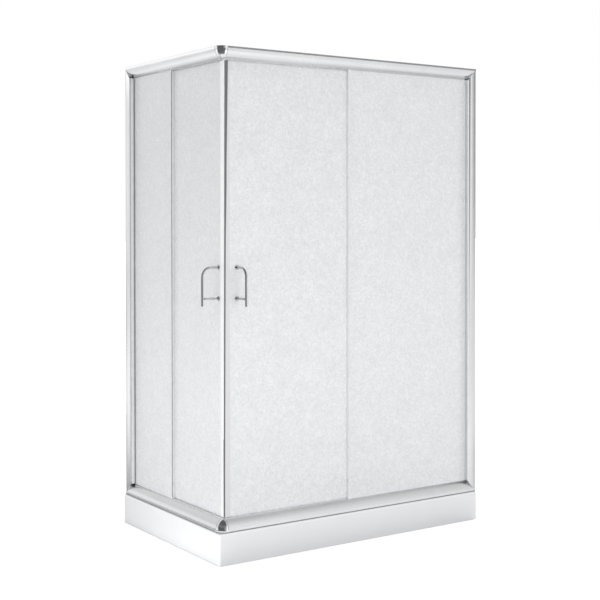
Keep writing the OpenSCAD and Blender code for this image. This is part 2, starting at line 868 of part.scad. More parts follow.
module top_hangers(is_short) {
    color("silver") place() on_side(is_short) at_level(true) for (is_rear = [false, true]) {
        u = wheel_u(is_short, is_rear);
        // Head, stud and end cap, then the sleeve that sets the wheel off from the glass
        across(u, axle_h, door_glass_v - bolt_head_t, door_glass_v, bolt_head_r);
        across(u, axle_h, door_glass_v - over, wheel_back + run_gap + over, hanger_axle_r);
        across(u, axle_h, wheel_back + run_gap, wheel_back + run_gap + 1.4, hanger_axle_r + 1.5);
        ring_across(u, axle_h, door_back_v, wheel_front - run_gap, hanger_axle_r, bolt_head_r);
    }
}

module bottom_guides(is_short) {
    color("gray") place() on_side(is_short) at_level(false) for (is_rear = [false, true])
        translate([wheel_u(is_short, is_rear), 0, 0]) {
            // Housing with a straight slot for the carrier
            difference() {
                block(
                    [-housing_w / 2, housing_w / 2], [door_back_v, cheek_v + keeper_t],
                    [housing_low, housing_high]
                );
                block(
                    [-carrier_w / 2 - run_gap, carrier_w / 2 + run_gap], [door_back_v + housing_t, cheek_v],
                    [housing_low - over, housing_high - roof_t]
                );
                block(
                    [keeper_w - carrier_w / 2, carrier_w / 2 - keeper_w],
                    [cheek_v - over, cheek_v + keeper_t + over], [housing_low - over, housing_high - roof_t]
                );
                translate([0, stem_v, housing_low]) cylinder(h = housing_high, r = stem_r + run_gap);
                across(0, guide_bolt_h, door_back_v - over, door_back_v + housing_t - 0.6, bolt_r);
            }
            // Bolt through the glass
            across(0, guide_bolt_h, door_glass_v - bolt_head_t, door_glass_v, bolt_head_r);
            across(0, guide_bolt_h, door_glass_v - over, door_back_v + housing_t - 0.6, bolt_r - axle_fit);
        }
}

// Sliding plate with the wheel axle below and the push button above
module carrier(is_short, is_rear) {
    color("dimgray") place() on_side(is_short) at_level(false)
        translate([wheel_u(is_short, is_rear), 0, 0]) {
        block(
            [-carrier_w / 2, carrier_w / 2], [carrier_v, carrier_v + carrier_t], [housing_low, carrier_top]
        );
        translate([0, stem_v, carrier_top - over])
            cylinder(h = button_low - carrier_top + 2 * over, r = stem_r);
        translate([0, stem_v, button_low]) cylinder(h = button_h, r = button_r);
        across(0, axle_h, carrier_v, wheel_front - run_gap, guide_axle_r + 2);
        across(0, axle_h, carrier_v, wheel_back + run_gap + over, guide_axle_r);
        across(0, axle_h, wheel_back + run_gap, wheel_back + run_gap + 1.4, guide_axle_r + 1.5);
    }
}

module guide_spring(is_short, is_rear) {
    color("silver") place() on_side(is_short) at_level(false)
        translate([wheel_u(is_short, is_rear), stem_v, 0])
            ring(housing_high, button_low - run_gap, spring_in_r, spring_out_r);
}

// Grooved wheel that straddles the rib of a rail
module wheel(is_short, is_rear, is_top) {
    bore = (is_top ? hanger_axle_r : guide_axle_r) + axle_fit;
    color("white") place() on_side(is_short) at_level(is_top)
        translate([wheel_u(is_short, is_rear), wheel_front, axle_h]) rotate([-90, 0, 0]) rotate_extrude()
            polygon([
                [bore, 0], [wheel_outer_r, 0], [wheel_outer_r, 1.2], [wheel_r, (wheel_w - groove_w) / 2],
                [wheel_r, (wheel_w + groove_w) / 2], [wheel_outer_r, wheel_w - 1.2],
                [wheel_outer_r, wheel_w],
                [bore, wheel_w]
            ]);
}

tray();
tray_board();
tray_support_tubes();
leg_rods();
foot_pads();
leg_nuts();
drain_trap();
drain_flange();
drain_seal();
drain_cover();
hair_basket();
wall_channel(false);  // long_wall_channel
wall_channel(true);  // short_wall_channel
wall_post(false);  // long_wall_post
wall_post(true);  // short_wall_post
rail(false, true);  // long_top_rail
rail(true, true);  // short_top_rail
rail(false, false);  // long_bottom_rail
rail(true, false);  // short_bottom_rail
corner_connector(true);  // top_corner_connector
corner_connector(false);  // bottom_corner_connector
frame_screws();
door_stops();
fixed_glass(false);  // long_fixed_glass
fixed_glass(true);  // short_fixed_glass
glass_gaskets();
fixed_edge_seals();
door_glass(false);  // long_door_glass
door_glass(true);  // short_door_glass
magnet_seal(false);  // long_magnet_seal
magnet_seal(true);  // short_magnet_seal
overlap_seal(false);  // long_overlap_seal
overlap_seal(true);  // short_overlap_seal
handle_bar(false);  // long_handle_bar
handle_bar(true);  // short_handle_bar
handle_fixings(false);  // long_handle_fixings
handle_fixings(true);  // short_handle_fixings
top_hangers(false);  // long_top_hangers
top_hangers(true);  // short_top_hangers
bottom_guides(false);  // long_bottom_guides
bottom_guides(true);  // short_bottom_guides
carrier(false, false);  // long_front_carrier
carrier(false, true);  // long_rear_carrier
carrier(true, false);  // short_front_carrier
carrier(true, true);  // short_rear_carrier
guide_spring(false, false);  // long_front_spring
guide_spring(false, true);  // long_rear_spring
guide_spring(true, false);  // short_front_spring
guide_spring(true, true);  // short_rear_spring
wheel(false, false, true);  // long_front_top_wheel
wheel(false, true, true);  // long_rear_top_wheel
wheel(false, false, false);  // long_front_bottom_wheel
wheel(false, true, false);  // long_rear_bottom_wheel
wheel(true, false, true);  // short_front_top_wheel
wheel(true, true, true);  // short_rear_top_wheel
wheel(true, false, false);  // short_front_bottom_wheel
wheel(true, true, false);  // short_rear_bottom_wheel
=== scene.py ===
"""Corner shower cabin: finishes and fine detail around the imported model, studio and camera."""
import json
import math

import bmesh
import bpy
from mathutils import Matrix, Vector


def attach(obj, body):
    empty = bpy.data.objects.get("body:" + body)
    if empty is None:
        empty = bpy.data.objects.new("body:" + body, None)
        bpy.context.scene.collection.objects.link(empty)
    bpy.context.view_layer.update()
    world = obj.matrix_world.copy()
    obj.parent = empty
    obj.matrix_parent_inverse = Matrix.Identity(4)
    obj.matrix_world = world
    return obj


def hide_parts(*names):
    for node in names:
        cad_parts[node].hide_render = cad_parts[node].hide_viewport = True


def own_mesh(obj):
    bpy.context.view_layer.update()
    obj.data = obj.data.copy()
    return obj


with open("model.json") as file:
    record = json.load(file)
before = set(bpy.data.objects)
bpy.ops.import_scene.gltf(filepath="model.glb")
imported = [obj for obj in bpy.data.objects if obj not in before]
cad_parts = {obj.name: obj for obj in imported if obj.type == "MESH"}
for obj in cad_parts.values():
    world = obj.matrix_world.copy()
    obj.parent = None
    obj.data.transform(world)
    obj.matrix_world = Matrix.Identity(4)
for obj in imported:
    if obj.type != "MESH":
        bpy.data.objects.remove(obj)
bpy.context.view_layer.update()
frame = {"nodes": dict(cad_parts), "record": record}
NODES = frame["nodes"]
RECORD = frame["record"]
SLOT_OF = {part["node"]: part["material_slot"] for part in RECORD["subparts"]}
BODY_OF = {node: body for body, nodes in RECORD["behaviour"]["bodies"].items() for node in nodes}
MM = 0.001

# Main dimensions in millimetres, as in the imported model
TRAY_H, CABIN_H = 116.0, 1850.0
WALL = {"long": 1192.0, "short": 792.0}
FIXED_START = {"long": 574.0, "short": 426.0}
RAIL_H, POST_W, POST_ROUND_R = 46.0, 40.0, 70.0
PANE_FOOT, PANE_HEAD = TRAY_H + RAIL_H, CABIN_H - RAIL_H
CORNER_X, CORNER_Y = -579.125, -379.125
RAIL_ROUND_R, RAIL_FOOT, CORNER_SIZE = 48.0, 4.0, 33.0
DOOR_V, GLASS_T = 37.0, 5.0
WHEEL_U = {"long": {"front": 132.0, "rear": 529.0}, "short": {"front": 132.0, "rear": 381.0}}
TRACK_V, AXLE_H, STEM_V, WHEEL_W = 55.2, 21.0, 47.0, 8.0
HANDLE_U = {"long": 90.0, "short": 76.0}
BAR_V, ROD_R = -29.5, 4.25
ARM_Z, POST_Z, BAR_LOW, BEND_R = 1061.0, 949.0, 922.0, 34.0
FLOOR_Z, DRAIN_X, DRAIN_Y = 72.0, 592.0, 602.0
LEG_X, LEG_Y = (160.0, 422.0, 762.0, 1024.0), (180.0, 642.0)
SIDES = ("long", "short")

# Parts of the mitre between which its plates lie
CAP_FROM, CAP_TO = 0.16, 0.99

# Heights in metres between which only the handles are chromed; there the chrome is painted darker for the
# dark reflections of the handles
HANDLES_FROM, HANDLES_TO = 0.5, 1.5

# Strength of floor and sky as seen through the panes
FLOOR_THROUGH_PANE, SKY_THROUGH_PANE = 1.9, 2.2

# Azimuth of the photographer's side of the room, seen from the corner
ROOM_AZIMUTH = -144.0

# Lamps: name, place, aim, width, height, power, seen by mirror finishes
LAMPS = (
    ("key", (-2.4, -0.8, 0.3), (-0.6, -0.05, 0.02), 1.3, 0.6, 12.0, False),
    ("side", (-3.0, 0.2, 2.0), (-0.6, 0.0, 1.6), 1.2, 0.8, 5.0, False),
    ("skirt", (-0.84, -0.12, 0.06), (-0.6, -0.12, 0.06), 0.6, 0.04, 0.17, False),
    ("rim", (-1.3, 1.35, 2.11), (-0.6, 0.0, 1.84), 1.0, 0.4, 0.5, True),
    ("fill", (0.0, -4.6, 1.3), (0.35, 0.0, 0.75), 2.2, 2.0, 71.0, False),
)

# Camera, fitted to the edges of the tray and rails
CAMERA_AT = Vector((-2.673, -4.181, 1.229))
CAMERA_TURN = math.radians(35.68)
CAMERA_TILT = math.radians(0.874)
FOCAL_PX = 1219.1
AXIS_X_PX, AXIS_Y_PX = 365.9, 239.4
FRAME_PX = 600.0
SENSOR_MM = 36.0


# Shader groups

def socket_group(name, inputs, outputs):
    """Shader node group with named sockets; returns the group and its two end nodes."""
    group = bpy.data.node_groups.new(name, "ShaderNodeTree")
    for label, value in inputs.items():
        kind = "NodeSocketVector" if isinstance(value, tuple) else "NodeSocketFloat"
        socket = group.interface.new_socket(label, in_out="INPUT", socket_type=kind)
        socket.default_value = value
    for label in outputs:
        group.interface.new_socket(label, in_out="OUTPUT", socket_type="NodeSocketFloat")
    return group, group.nodes.new("NodeGroupInput"), group.nodes.new("NodeGroupOutput")


def feed(tree, socket, value):
    """Link a socket or set a plain number."""
    if isinstance(value, bpy.types.NodeSocket):
        tree.links.new(value, socket)
    elif value is not None:
        socket.default_value = value


def math_node(tree, operation, a, b=None, c=None):
    """Math node fed by sockets or plain numbers; returns its output socket."""
    node = tree.nodes.new("ShaderNodeMath")
    node.operation = operation
    for socket, value in zip(node.inputs, (a, b, c)):
        feed(tree, socket, value)
    return node.outputs[0]


def chained(tree, operation, values):
    """One operation over sockets or plain numbers, from left to right."""
    result = values[0]
    for value in values[1:]:
        result = math_node(tree, operation, result, value)
    return result


def times(tree, *values):
    """Product of sockets or plain numbers."""
    return chained(tree, "MULTIPLY", values)


def total(tree, *values):
    """Sum of sockets or plain numbers."""
    return chained(tree, "ADD", values)


def largest(tree, *values):
    """Largest of sockets or plain numbers."""
    return chained(tree, "MAXIMUM", values)


def vector_node(tree, operation, first, second=None):
    """Vector maths node fed by sockets or plain vectors; returns its outputs."""
    node = tree.nodes.new("ShaderNodeVectorMath")
    node.operation = operation
    for socket, value in zip(node.inputs, (first, second)):
        feed(tree, socket, value)
    return node.outputs


def map_node(tree, value, from_low, from_high, to_low, to_high, smooth=False):
    """Map a value from one range to another, clamped at both ends."""
    node = tree.nodes.new("ShaderNodeMapRange")
    node.interpolation_type = "SMOOTHSTEP" if smooth else "LINEAR"
    feed(tree, node.inputs["Value"], value)
    limits = (("From Min", from_low), ("From Max", from_high), ("To Min", to_low), ("To Max", to_high))
    for label, number in limits:
        feed(tree, node.inputs[label], number)
    return node.outputs["Result"]


def noise_node(tree, vector, scale, detail=2.0, roughness=0.5, distortion=0.0):
    """Noise over a vector; returns its value socket."""
    node = tree.nodes.new("ShaderNodeTexNoise")
    tree.links.new(vector, node.inputs["Vector"])
    values = (("Scale", scale), ("Detail", detail), ("Roughness", roughness), ("Distortion", distortion))
    for label, value in values:
        feed(tree, node.inputs[label], value)
    return node.outputs["Fac"]


def axis_parts(tree, vector):
    """The three parts of a vector."""
    node = tree.nodes.new("ShaderNodeSeparateXYZ")
    tree.links.new(vector, node.inputs[0])
    return node.outputs


def make_wear_group():
    """Faint unevenness of a wiped surface: broad smears and fine specks."""
    group, given, result = socket_group(
        "wiped_surface", {"Vector": (0.0, 0.0, 0.0), "Smear Scale": 9.0, "Speck Scale": 420.0},
        ("Smears", "Specks"))
    smears = noise_node(group, given.outputs["Vector"], given.outputs["Smear Scale"], 4.0, 0.55, 0.6)
    specks = noise_node(group, given.outputs["Vector"], given.outputs["Speck Scale"], 2.0)
    group.links.new(smears, result.inputs["Smears"])
    group.links.new(specks, result.inputs["Specks"])
    return group


def make_drawn_group():
    """Fine lines left along an extruded or drawn length."""
    group, given, result = socket_group(
        "drawn_lines", {"Vector": (0.0, 0.0, 0.0), "Squeeze": (1.0, 1.0, 1.0), "Scale": 900.0}, ("Lines",))
    squeezed = vector_node(group, "MULTIPLY", given.outputs["Vector"], given.outputs["Squeeze"])
    lines = noise_node(group, squeezed["Vector"], given.outputs["Scale"], 1.0)
    group.links.new(lines, result.inputs["Lines"])
    return group


def make_crinkle_group():
    """Crinkled relief of patterned glass: short curved strokes that wander in all directions."""
    group, given, result = socket_group(
        "crinkled_relief", {"Vector": (0.0, 0.0, 0.0), "Scale": 40.0, "Strokes": 5.0}, ("Height", "Clumps"))
    where, scale = given.outputs["Vector"], given.outputs["Scale"]
    flow = noise_node(group, where, scale, 1.5, 0.5, 0.9)
    waves = math_node(group, "SINE", times(group, flow, given.outputs["Strokes"], math.tau))
    crossing = noise_node(group, where, times(group, scale, 2.2), 2.0)
    reach = map_node(group, crossing, 0.38, 0.62, 0.15, 1.0)
    strokes = math_node(group, "MULTIPLY_ADD", times(group, waves, reach), 0.5, 0.5)
    group.links.new(strokes, result.inputs["Height"])
    clumps = noise_node(group, where, 11.0, 3.0, 0.6)
    group.links.new(clumps, result.inputs["Clumps"])
    return group


WEAR = make_wear_group()
DRAWN = make_drawn_group()
CRINKLE = make_crinkle_group()


# Finishes

class Finish:
    """A material under construction, with its Principled shader and Object coordinates."""

    def __init__(self, name, **sockets):
        self.material = bpy.data.materials.new(name)
        self.material.use_nodes = True
        self.tree = self.material.node_tree
        self.shader = self.tree.nodes["Principled BSDF"]
        self.where = self.tree.nodes.new("ShaderNodeTexCoord").outputs["Object"]
        self.normal = None
        for label, value in sockets.items():
            self.shader.inputs[label.replace("_", " ")].default_value = value

    def group(self, group, **values):
        """Add a shader group over Object coordinates."""
        node = self.tree.nodes.new("ShaderNodeGroup")
        node.node_tree = group
        self.tree.links.new(self.where, node.inputs["Vector"])
        for label, value in values.items():
            feed(self.tree, node.inputs[label.replace("_", " ")], value)
        return node

    def ramp(self, value, first, second, low=0.3, high=0.7):
        """Two colours mixed by a value."""
        ramp = self.tree.nodes.new("ShaderNodeValToRGB")
        for stop, position, colour in zip(ramp.color_ramp.elements, (low, high), (first, second)):
            stop.position = position
            stop.color = (*colour, 1.0)
        self.tree.links.new(value, ramp.inputs["Fac"])
        return ramp.outputs["Color"]

    def mix(self, factor, first, second, blend="MIX"):
        """Mix two colours by a factor."""
        mix = self.tree.nodes.new("ShaderNodeMix")
        mix.data_type = "RGBA"
        mix.blend_type = blend
        colours = [socket for socket in mix.inputs if socket.type == "RGBA"]
        feed(self.tree, mix.inputs["Factor"], factor)
        for socket, colour in zip(colours, (first, second)):
            feed(self.tree, socket, colour if isinstance(colour, bpy.types.NodeSocket) else (*colour, 1.0))
        return next(socket for socket in mix.outputs if socket.type == "RGBA")

    def colour(self, socket):
        """Feed Base Color."""
        self.tree.links.new(socket, self.shader.inputs["Base Color"])

    def colours(self, value, first, second):
        """Mix two colours by a value and feed Base Color."""
        self.colour(self.ramp(value, first, second))

    def roughness(self, value, low, high):
        """Feed Roughness with a value spread between two limits."""
        spread = map_node(self.tree, value, 0.3, 0.7, low, high)
        self.tree.links.new(spread, self.shader.inputs["Roughness"])

    def bump(self, height, distance, strength=1.0):
        """Add relief to the normal."""
        node = self.tree.nodes.new("ShaderNodeBump")
        node.inputs["Strength"].default_value = strength
        node.inputs["Distance"].default_value = distance
        self.tree.links.new(height, node.inputs["Height"])
        if self.normal:
            self.tree.links.new(self.normal, node.inputs["Normal"])
        self.normal = node.outputs["Normal"]
        self.tree.links.new(self.normal, self.shader.inputs["Normal"])

    def soft_edges(self, radius):
        """Round the shading over sharp edges; called before any bump."""
        node = self.tree.nodes.new("ShaderNodeBevel")
        node.samples = 4
        node.inputs["Radius"].default_value = radius
        self.normal = node.outputs["Normal"]
        self.tree.links.new(self.normal, self.shader.inputs["Normal"])


def acrylic():
    """Glossy moulded sheet with a faint ripple."""
    f = Finish("white_acrylic", Coat_Weight=0.3, Coat_Roughness=0.1, IOR=1.49)
    wear = f.group(WEAR, Smear_Scale=7.0, Speck_Scale=260.0)
    f.colours(wear.outputs["Smears"], (0.792, 0.799, 0.815), (0.805, 0.811, 0.827))
    f.roughness(wear.outputs["Smears"], 0.21, 0.25)
    f.bump(wear.outputs["Specks"], 0.02 * MM)
    f.bump(wear.outputs["Smears"], 0.5 * MM, 0.03)
    return f.material


def anodised():
    """Satin anodised aluminium with faint extrusion lines."""
    f = Finish("satin_silver", Metallic=1.0)
    f.soft_edges(0.5 * MM)
    wear = f.group(WEAR, Smear_Scale=5.0, Speck_Scale=900.0)
    lines = f.group(DRAWN, Squeeze=(0.02, 0.02, 1.0), Scale=1600.0)
    f.colours(wear.outputs["Smears"], (0.70, 0.705, 0.715), (0.76, 0.762, 0.77))
    f.roughness(wear.outputs["Smears"], 0.21, 0.28)
    f.bump(lines.outputs["Lines"], 0.008 * MM)
    f.bump(wear.outputs["Specks"], 0.006 * MM)
    return f.material


def chrome():
    """Polished chrome with a trace of haze, painted darker on the handles for their dark reflections."""
    f = Finish("polished_chrome", Metallic=1.0)
    wear = f.group(WEAR, Smear_Scale=22.0, Speck_Scale=900.0)
    plating = f.ramp(wear.outputs["Smears"], (0.74, 0.745, 0.755), (0.79, 0.795, 0.80))
    height = axis_parts(f.tree, f.where)["Z"]
    # Painted reflection: the handles' chrome is made darker to stand in for the dark surroundings they
    # mirror
    handles = times(f.tree, math_node(f.tree, "GREATER_THAN", height, HANDLES_FROM),
                    math_node(f.tree, "LESS_THAN", height, HANDLES_TO))
    f.colour(f.mix(handles, plating, f.mix(1.0, plating, (0.66, 0.66, 0.67), "MULTIPLY")))
    f.roughness(wear.outputs["Smears"], 0.05, 0.12)
    f.bump(wear.outputs["Specks"], 0.003 * MM)
    return f.material


def patterned_glass():
    """Milky safety glass with a crinkled relief and a faintly green polished edge."""
    f = Finish("patterned_glass", Transmission_Weight=0.1, IOR=1.5, Coat_Weight=0.15, Coat_Roughness=0.15)
    relief = f.group(CRINKLE, Scale=54.0, Strokes=3.4)
    base = f.ramp(relief.outputs["Height"], (0.725, 0.734, 0.755), (0.85, 0.857, 0.878), 0.05, 0.95)
    cloud = f.ramp(relief.outputs["Clumps"], (0.955, 0.968, 0.962), (1.0, 1.0, 1.0))
    face = f.mix(1.0, base, cloud, "MULTIPLY")
    # Painted shade: the panes darker towards the top
    painted_top_shade = map_node(f.tree, axis_parts(f.tree, f.where)["Z"], 0.3, 1.8, 0.0, 1.0, True)
    face = f.mix(painted_top_shade, face, f.mix(1.0, face, (0.94, 0.94, 0.94), "MULTIPLY"))
    edge = f.tree.nodes.new("ShaderNodeAttribute")
    edge.attribute_name = "cut_edge"
    f.colour(f.mix(edge.outputs["Fac"], face, (0.55, 0.67, 0.65)))
    f.roughness(relief.outputs["Height"], 0.3, 0.42)
    f.bump(relief.outputs["Height"], 0.6 * MM, 0.5)
    return f.material


def worn(name, tones, gloss, scales=(30.0, 1300.0), edge=0.4, relief=0.03, by="Smears", **sockets):
    """Finish in two near tones with smears, specks and eased edges."""
    f = Finish(name, **sockets)
    f.soft_edges(edge * MM)
    wear = f.group(WEAR, Smear_Scale=scales[0], Speck_Scale=scales[1])
    f.colours(wear.outputs[by], *tones)
    f.roughness(wear.outputs["Smears"], *gloss)
    f.bump(wear.outputs["Specks"], relief * MM)
    return f.material


def magnet_strip():
    """Soft strip whose dark magnet core shows through the front of the long door's nose, with painted
    shadow that spreads the dark band upwards and painted shade on the rest of its front.
    """
    f = Finish("magnet_strip")
    f.soft_edges(0.4 * MM)
    wear = f.group(WEAR, Smear_Scale=30.0, Speck_Scale=1300.0)
    pale = f.ramp(wear.outputs["Smears"], (0.83, 0.835, 0.84), (0.87, 0.875, 0.88))
    spot = axis_parts(f.tree, f.where)
    # Dark band: the magnet core and painted shadow, lying further along the side as it rises and spreading
    # out in its upper part
    start = map_node(f.tree, spot["Z"], 0.3, 1.75, (CORNER_X + 33.0) * MM, (CORNER_X + 38.0) * MM)
    end = map_node(f.tree, spot["Z"], 0.3, 1.15, (CORNER_X + 38.5) * MM, (CORNER_X + 43.0) * MM)
    shadow_widening = map_node(f.tree, spot["Z"], 1.15, 1.80, 0.0, 11.0 * MM)
    after = math_node(f.tree, "GREATER_THAN", spot["X"], start)
    before = math_node(f.tree, "LESS_THAN", spot["X"], total(f.tree, end, shadow_widening))
    outer = math_node(f.tree, "LESS_THAN", spot["Y"], (CORNER_Y + 36.5) * MM)
    core = times(f.tree, after, before, outer)
    # Painted shade over the rest of the long door strip's front
    shaded_front = times(f.tree, after, outer)
    f.colour(f.mix(core, f.mix(shaded_front, pale, (0.66, 0.665, 0.68)), (0.13, 0.13, 0.14)))
    f.roughness(wear.outputs["Smears"], 0.28, 0.42)
    f.bump(wear.outputs["Specks"], 0.03 * MM)
    return f.material


FINISHES = {
    "white_acrylic": acrylic(),
    "satin_silver": anodised(),
    "polished_chrome": chrome(),
    "patterned_glass": patterned_glass(),
    "clear_strip": worn("clear_strip", ((0.73, 0.74, 0.75), (0.79, 0.80, 0.81)), (0.25, 0.4)),
    "magnet_strip": magnet_strip(),
    "plated_steel": worn("plated_steel", ((0.5, 0.5, 0.51), (0.66, 0.665, 0.67)), (0.26, 0.42),
                         (60.0, 700.0), relief=0.01, Metallic=1.0),
    "black_rubber": worn("black_rubber", ((0.02, 0.02, 0.02), (0.035, 0.035, 0.036)), (0.55, 0.75)),
    "grey_nylon": worn("grey_nylon", ((0.2, 0.205, 0.21), (0.25, 0.255, 0.26)), (0.38, 0.55)),
    "white_nylon": worn("white_nylon", ((0.78, 0.78, 0.76), (0.84, 0.84, 0.82)), (0.35, 0.5)),
    # Particle board with chips under a sealing coat
    "sealed_board": worn("sealed_board", ((0.42, 0.3, 0.17), (0.66, 0.52, 0.34)), (0.5, 0.7),
                         (24.0, 330.0), 0.6, 0.15, "Specks"),
}


def put(name, data):
    """A new object in the scene."""
    item = bpy.data.objects.new(name, data)
    bpy.context.scene.collection.objects.link(item)
    return item


# Shapes, drawn in millimetres from the corner of the rails: u along a side, v inwards, z up

def side_frame(side):
    """Takes a side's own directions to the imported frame."""
    axes = ((1, 0, 0), (0, 1, 0)) if side == "long" else ((0, 1, 0), (1, 0, 0))
    turn = Matrix((*axes, (0, 0, 1))).transposed().to_4x4()
    return Matrix.Scale(MM, 4) @ Matrix.Translation((CORNER_X, CORNER_Y, 0.0)) @ turn


def rounded(points, radius, closed=True, steps=3):
    """Round the corners of a flat outline as far as their room allows."""
    result = []
    count = len(points)
    for k, point in enumerate(points):
        here = Vector(point)
        if not closed and k in (0, count - 1):
            result.append(tuple(here))
            continue
        back, ahead = Vector(points[k - 1]) - here, Vector(points[(k + 1) % count]) - here
        room = min(radius, back.length * 0.45, ahead.length * 0.45)
        start, end = here + back.normalized() * room, here + ahead.normalized() * room
        for step in range(steps + 1):
            t = step / steps
            result.append(tuple(start * (1 - t) ** 2 + here * (2 * t * (1 - t)) + end * t ** 2))
    return result


def ring_of(form, centre, side, other, radius, steps):
    """A ring of vertices around a centre, in the plane of two directions."""
    turns = [math.tau * k / steps for k in range(steps)]
    return [form.verts.new(centre + radius * (side * math.cos(t) + other * math.sin(t))) for t in turns]


def turn_profile(form, profile, origin, axis, steps=48, closed=False):
    """Turn a profile of (radius, height) points about an axis."""
    axis = Vector(axis).normalized()
    side = axis.orthogonal().normalized()
    other = axis.cross(side)
    rings = []
    for radius, height in profile:
        base = Vector(origin) + axis * height
        rings.append(
            [form.verts.new(base)] if radius < 1e-6 else ring_of(form, base, side, other, radius, steps))
    pairs = list(zip(rings, rings[1:])) + ([(rings[-1], rings[0])] if closed else [])
    for low, high in pairs:
        for k in range(steps):
            corners = []
            for ring, step in ((low, k), (low, k + 1), (high, k + 1), (high, k)):
                vert = ring[step % len(ring)]
                if vert not in corners:
                    corners.append(vert)
            if len(corners) > 2:
                form.faces.new(corners)


def join_rings(form, rings):
    """Walls between rings of equal count, with both ends closed."""
    for first, second in zip(rings, rings[1:]):
        for k in range(len(first)):
            form.faces.new((first[k - 1], first[k], second[k], second[k - 1]))
    form.faces.new(rings[0])
    form.faces.new(rings[-1])


def sweep_tube(form, path, radii, steps=24):
    """Sweep a round section along a path, with flat ends."""
    points = [Vector(p) for p in path]
    side, rings = None, []
    for k, point in enumerate(points):
        ahead = (points[min(k + 1, len(points) - 1)] - points[max(k - 1, 0)]).normalized()
        side = (side - ahead * side.dot(ahead)).normalized() if side else ahead.orthogonal().normalized()
        rings.append(ring_of(form, point, side, ahead.cross(side), radii[k], steps))
    join_rings(form, rings)


def run_outline(form, outline, low, high):
    """Run a flat outline of (v, z) points along u."""
    join_rings(form, [[form.verts.new((u, v, z)) for v, z in outline] for u in (low, high)])


def stand_outline(form, outline, low, high):
    """Run a flat outline of (u, v) points upwards."""
    join_rings(form, [[form.verts.new((u, v, z)) for u, v in outline] for z in (low, high)])


def finish_piece(form, name, body, slot, nodes=(), angle=35.0, matrix=None, marks=None):
    """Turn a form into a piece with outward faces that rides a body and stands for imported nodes."""
    if matrix is not None:
        form.transform(matrix)
    bmesh.ops.recalc_face_normals(form, faces=form.faces)
    limit = math.radians(angle)
    for face in form.faces:
        face.smooth = True
    for edge in form.edges:
        edge.smooth = len(edge.link_faces) == 2 and edge.calc_face_angle(0.0) < limit
    if marks:
        label, test = marks
        layer = form.faces.layers.float.new(label)
        for face in form.faces:
            face[layer] = test(face)
    mesh = bpy.data.meshes.new(name)
    form.to_mesh(mesh)
    form.free()
    piece = put(name, mesh)
    # Flat faces keep their own shading beside rounded edges
    weigh = piece.modifiers.new("weighted", "WEIGHTED_NORMAL")
    weigh.keep_sharp = True
    bpy.context.view_layer.update()
    depsgraph = bpy.context.evaluated_depsgraph_get()
    piece.data = bpy.data.meshes.new_from_object(piece.evaluated_get(depsgraph), depsgraph=depsgraph)
    piece.modifiers.clear()
    bpy.data.meshes.remove(mesh)
    piece.data.name = name
    piece.data.materials.clear()
    piece.data.materials.append(FINISHES[slot])
    if nodes:
        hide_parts(*nodes)
    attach(piece, body)
    return piece


def add_form(form, other):
    """Add one form's faces to another."""
    mesh = bpy.data.meshes.new("joined")
    other.to_mesh(mesh)
    other.free()
    form.from_mesh(mesh)
    bpy.data.meshes.remove(mesh)


def merged_copy(node):
    """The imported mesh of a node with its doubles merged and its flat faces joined."""
    form = bmesh.new()
    form.from_mesh(NODES[node].data)
    bmesh.ops.remove_doubles(form, verts=form.verts, dist=0.01 * MM)
    bmesh.ops.dissolve_limit(form, angle_limit=math.radians(0.4), verts=form.verts, edges=form.edges)
    return form


def soften(form, width, segments=2, chosen=None):
    """Bevel the sharp edges of a form, or those of them that a test chooses."""
    limit = math.radians(30.0)
    edges = [e for e in form.edges if len(e.link_faces) == 2 and e.calc_face_angle(0.0) > limit]
    if chosen:
        edges = [e for e in edges if chosen(e)]
    bmesh.ops.bevel(form, geom=edges, offset=width * MM, offset_type="OFFSET", segments=segments,
                    profile=0.5, affect="EDGES", clamp_overlap=True)


def refine(node, width=0.0, segments=2, angle=35.0, chosen=None, marks=None, shape=None):
    """Stand a merged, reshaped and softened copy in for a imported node."""
    form = merged_copy(node)
    if shape:
        shape(form)
    if width:
        soften(form, width, segments, chosen)
    return finish_piece(form, node + "_piece", BODY_OF[node], SLOT_OF[node], (node,), angle, marks=marks)


# Geometry Nodes groups

def node_group(name, inputs):
    """Geometry Nodes group with named inputs; returns it with its end nodes and socket identifiers."""
    group = bpy.data.node_groups.new(name, "GeometryNodeTree")
    ids = {}
    for label, kind in inputs:
        socket = group.interface.new_socket(label, in_out="INPUT", socket_type="NodeSocket" + kind)
        ids[label] = socket.identifier
    group.interface.new_socket("Geometry", in_out="OUTPUT", socket_type="NodeSocketGeometry")
    return group, ids, group.nodes.new("NodeGroupInput"), group.nodes.new("NodeGroupOutput")


def end_with_finish(group, given, result, geometry):
    """End a Geometry Nodes group in real geometry with its material."""
    real = group.nodes.new("GeometryNodeRealizeInstances")
    paint = group.nodes.new("GeometryNodeSetMaterial")
    group.links.new(geometry, real.inputs["Geometry"])
    group.links.new(real.outputs["Geometry"], paint.inputs["Geometry"])
    group.links.new(given.outputs["Material"], paint.inputs["Material"])
    group.links.new(paint.outputs["Geometry"], result.inputs["Geometry"])


def make_scatter_group():
    """A copy of a stamp at every point, all turned alike."""
    group, ids, given, result = node_group("copies_at_points", (
        ("Geometry", "Geometry"), ("Stamp", "Object"), ("Turn", "Vector"), ("Material", "Material")))
    stamp = group.nodes.new("GeometryNodeObjectInfo")
    copies = group.nodes.new("GeometryNodeInstanceOnPoints")
    group.links.new(given.outputs["Stamp"], stamp.inputs["Object"])
    group.links.new(given.outputs["Geometry"], copies.inputs["Points"])
    group.links.new(stamp.outputs["Geometry"], copies.inputs["Instance"])
    group.links.new(given.outputs["Turn"], copies.inputs["Rotation"])
    end_with_finish(group, given, result, copies.outputs["Instances"])
    return group, ids


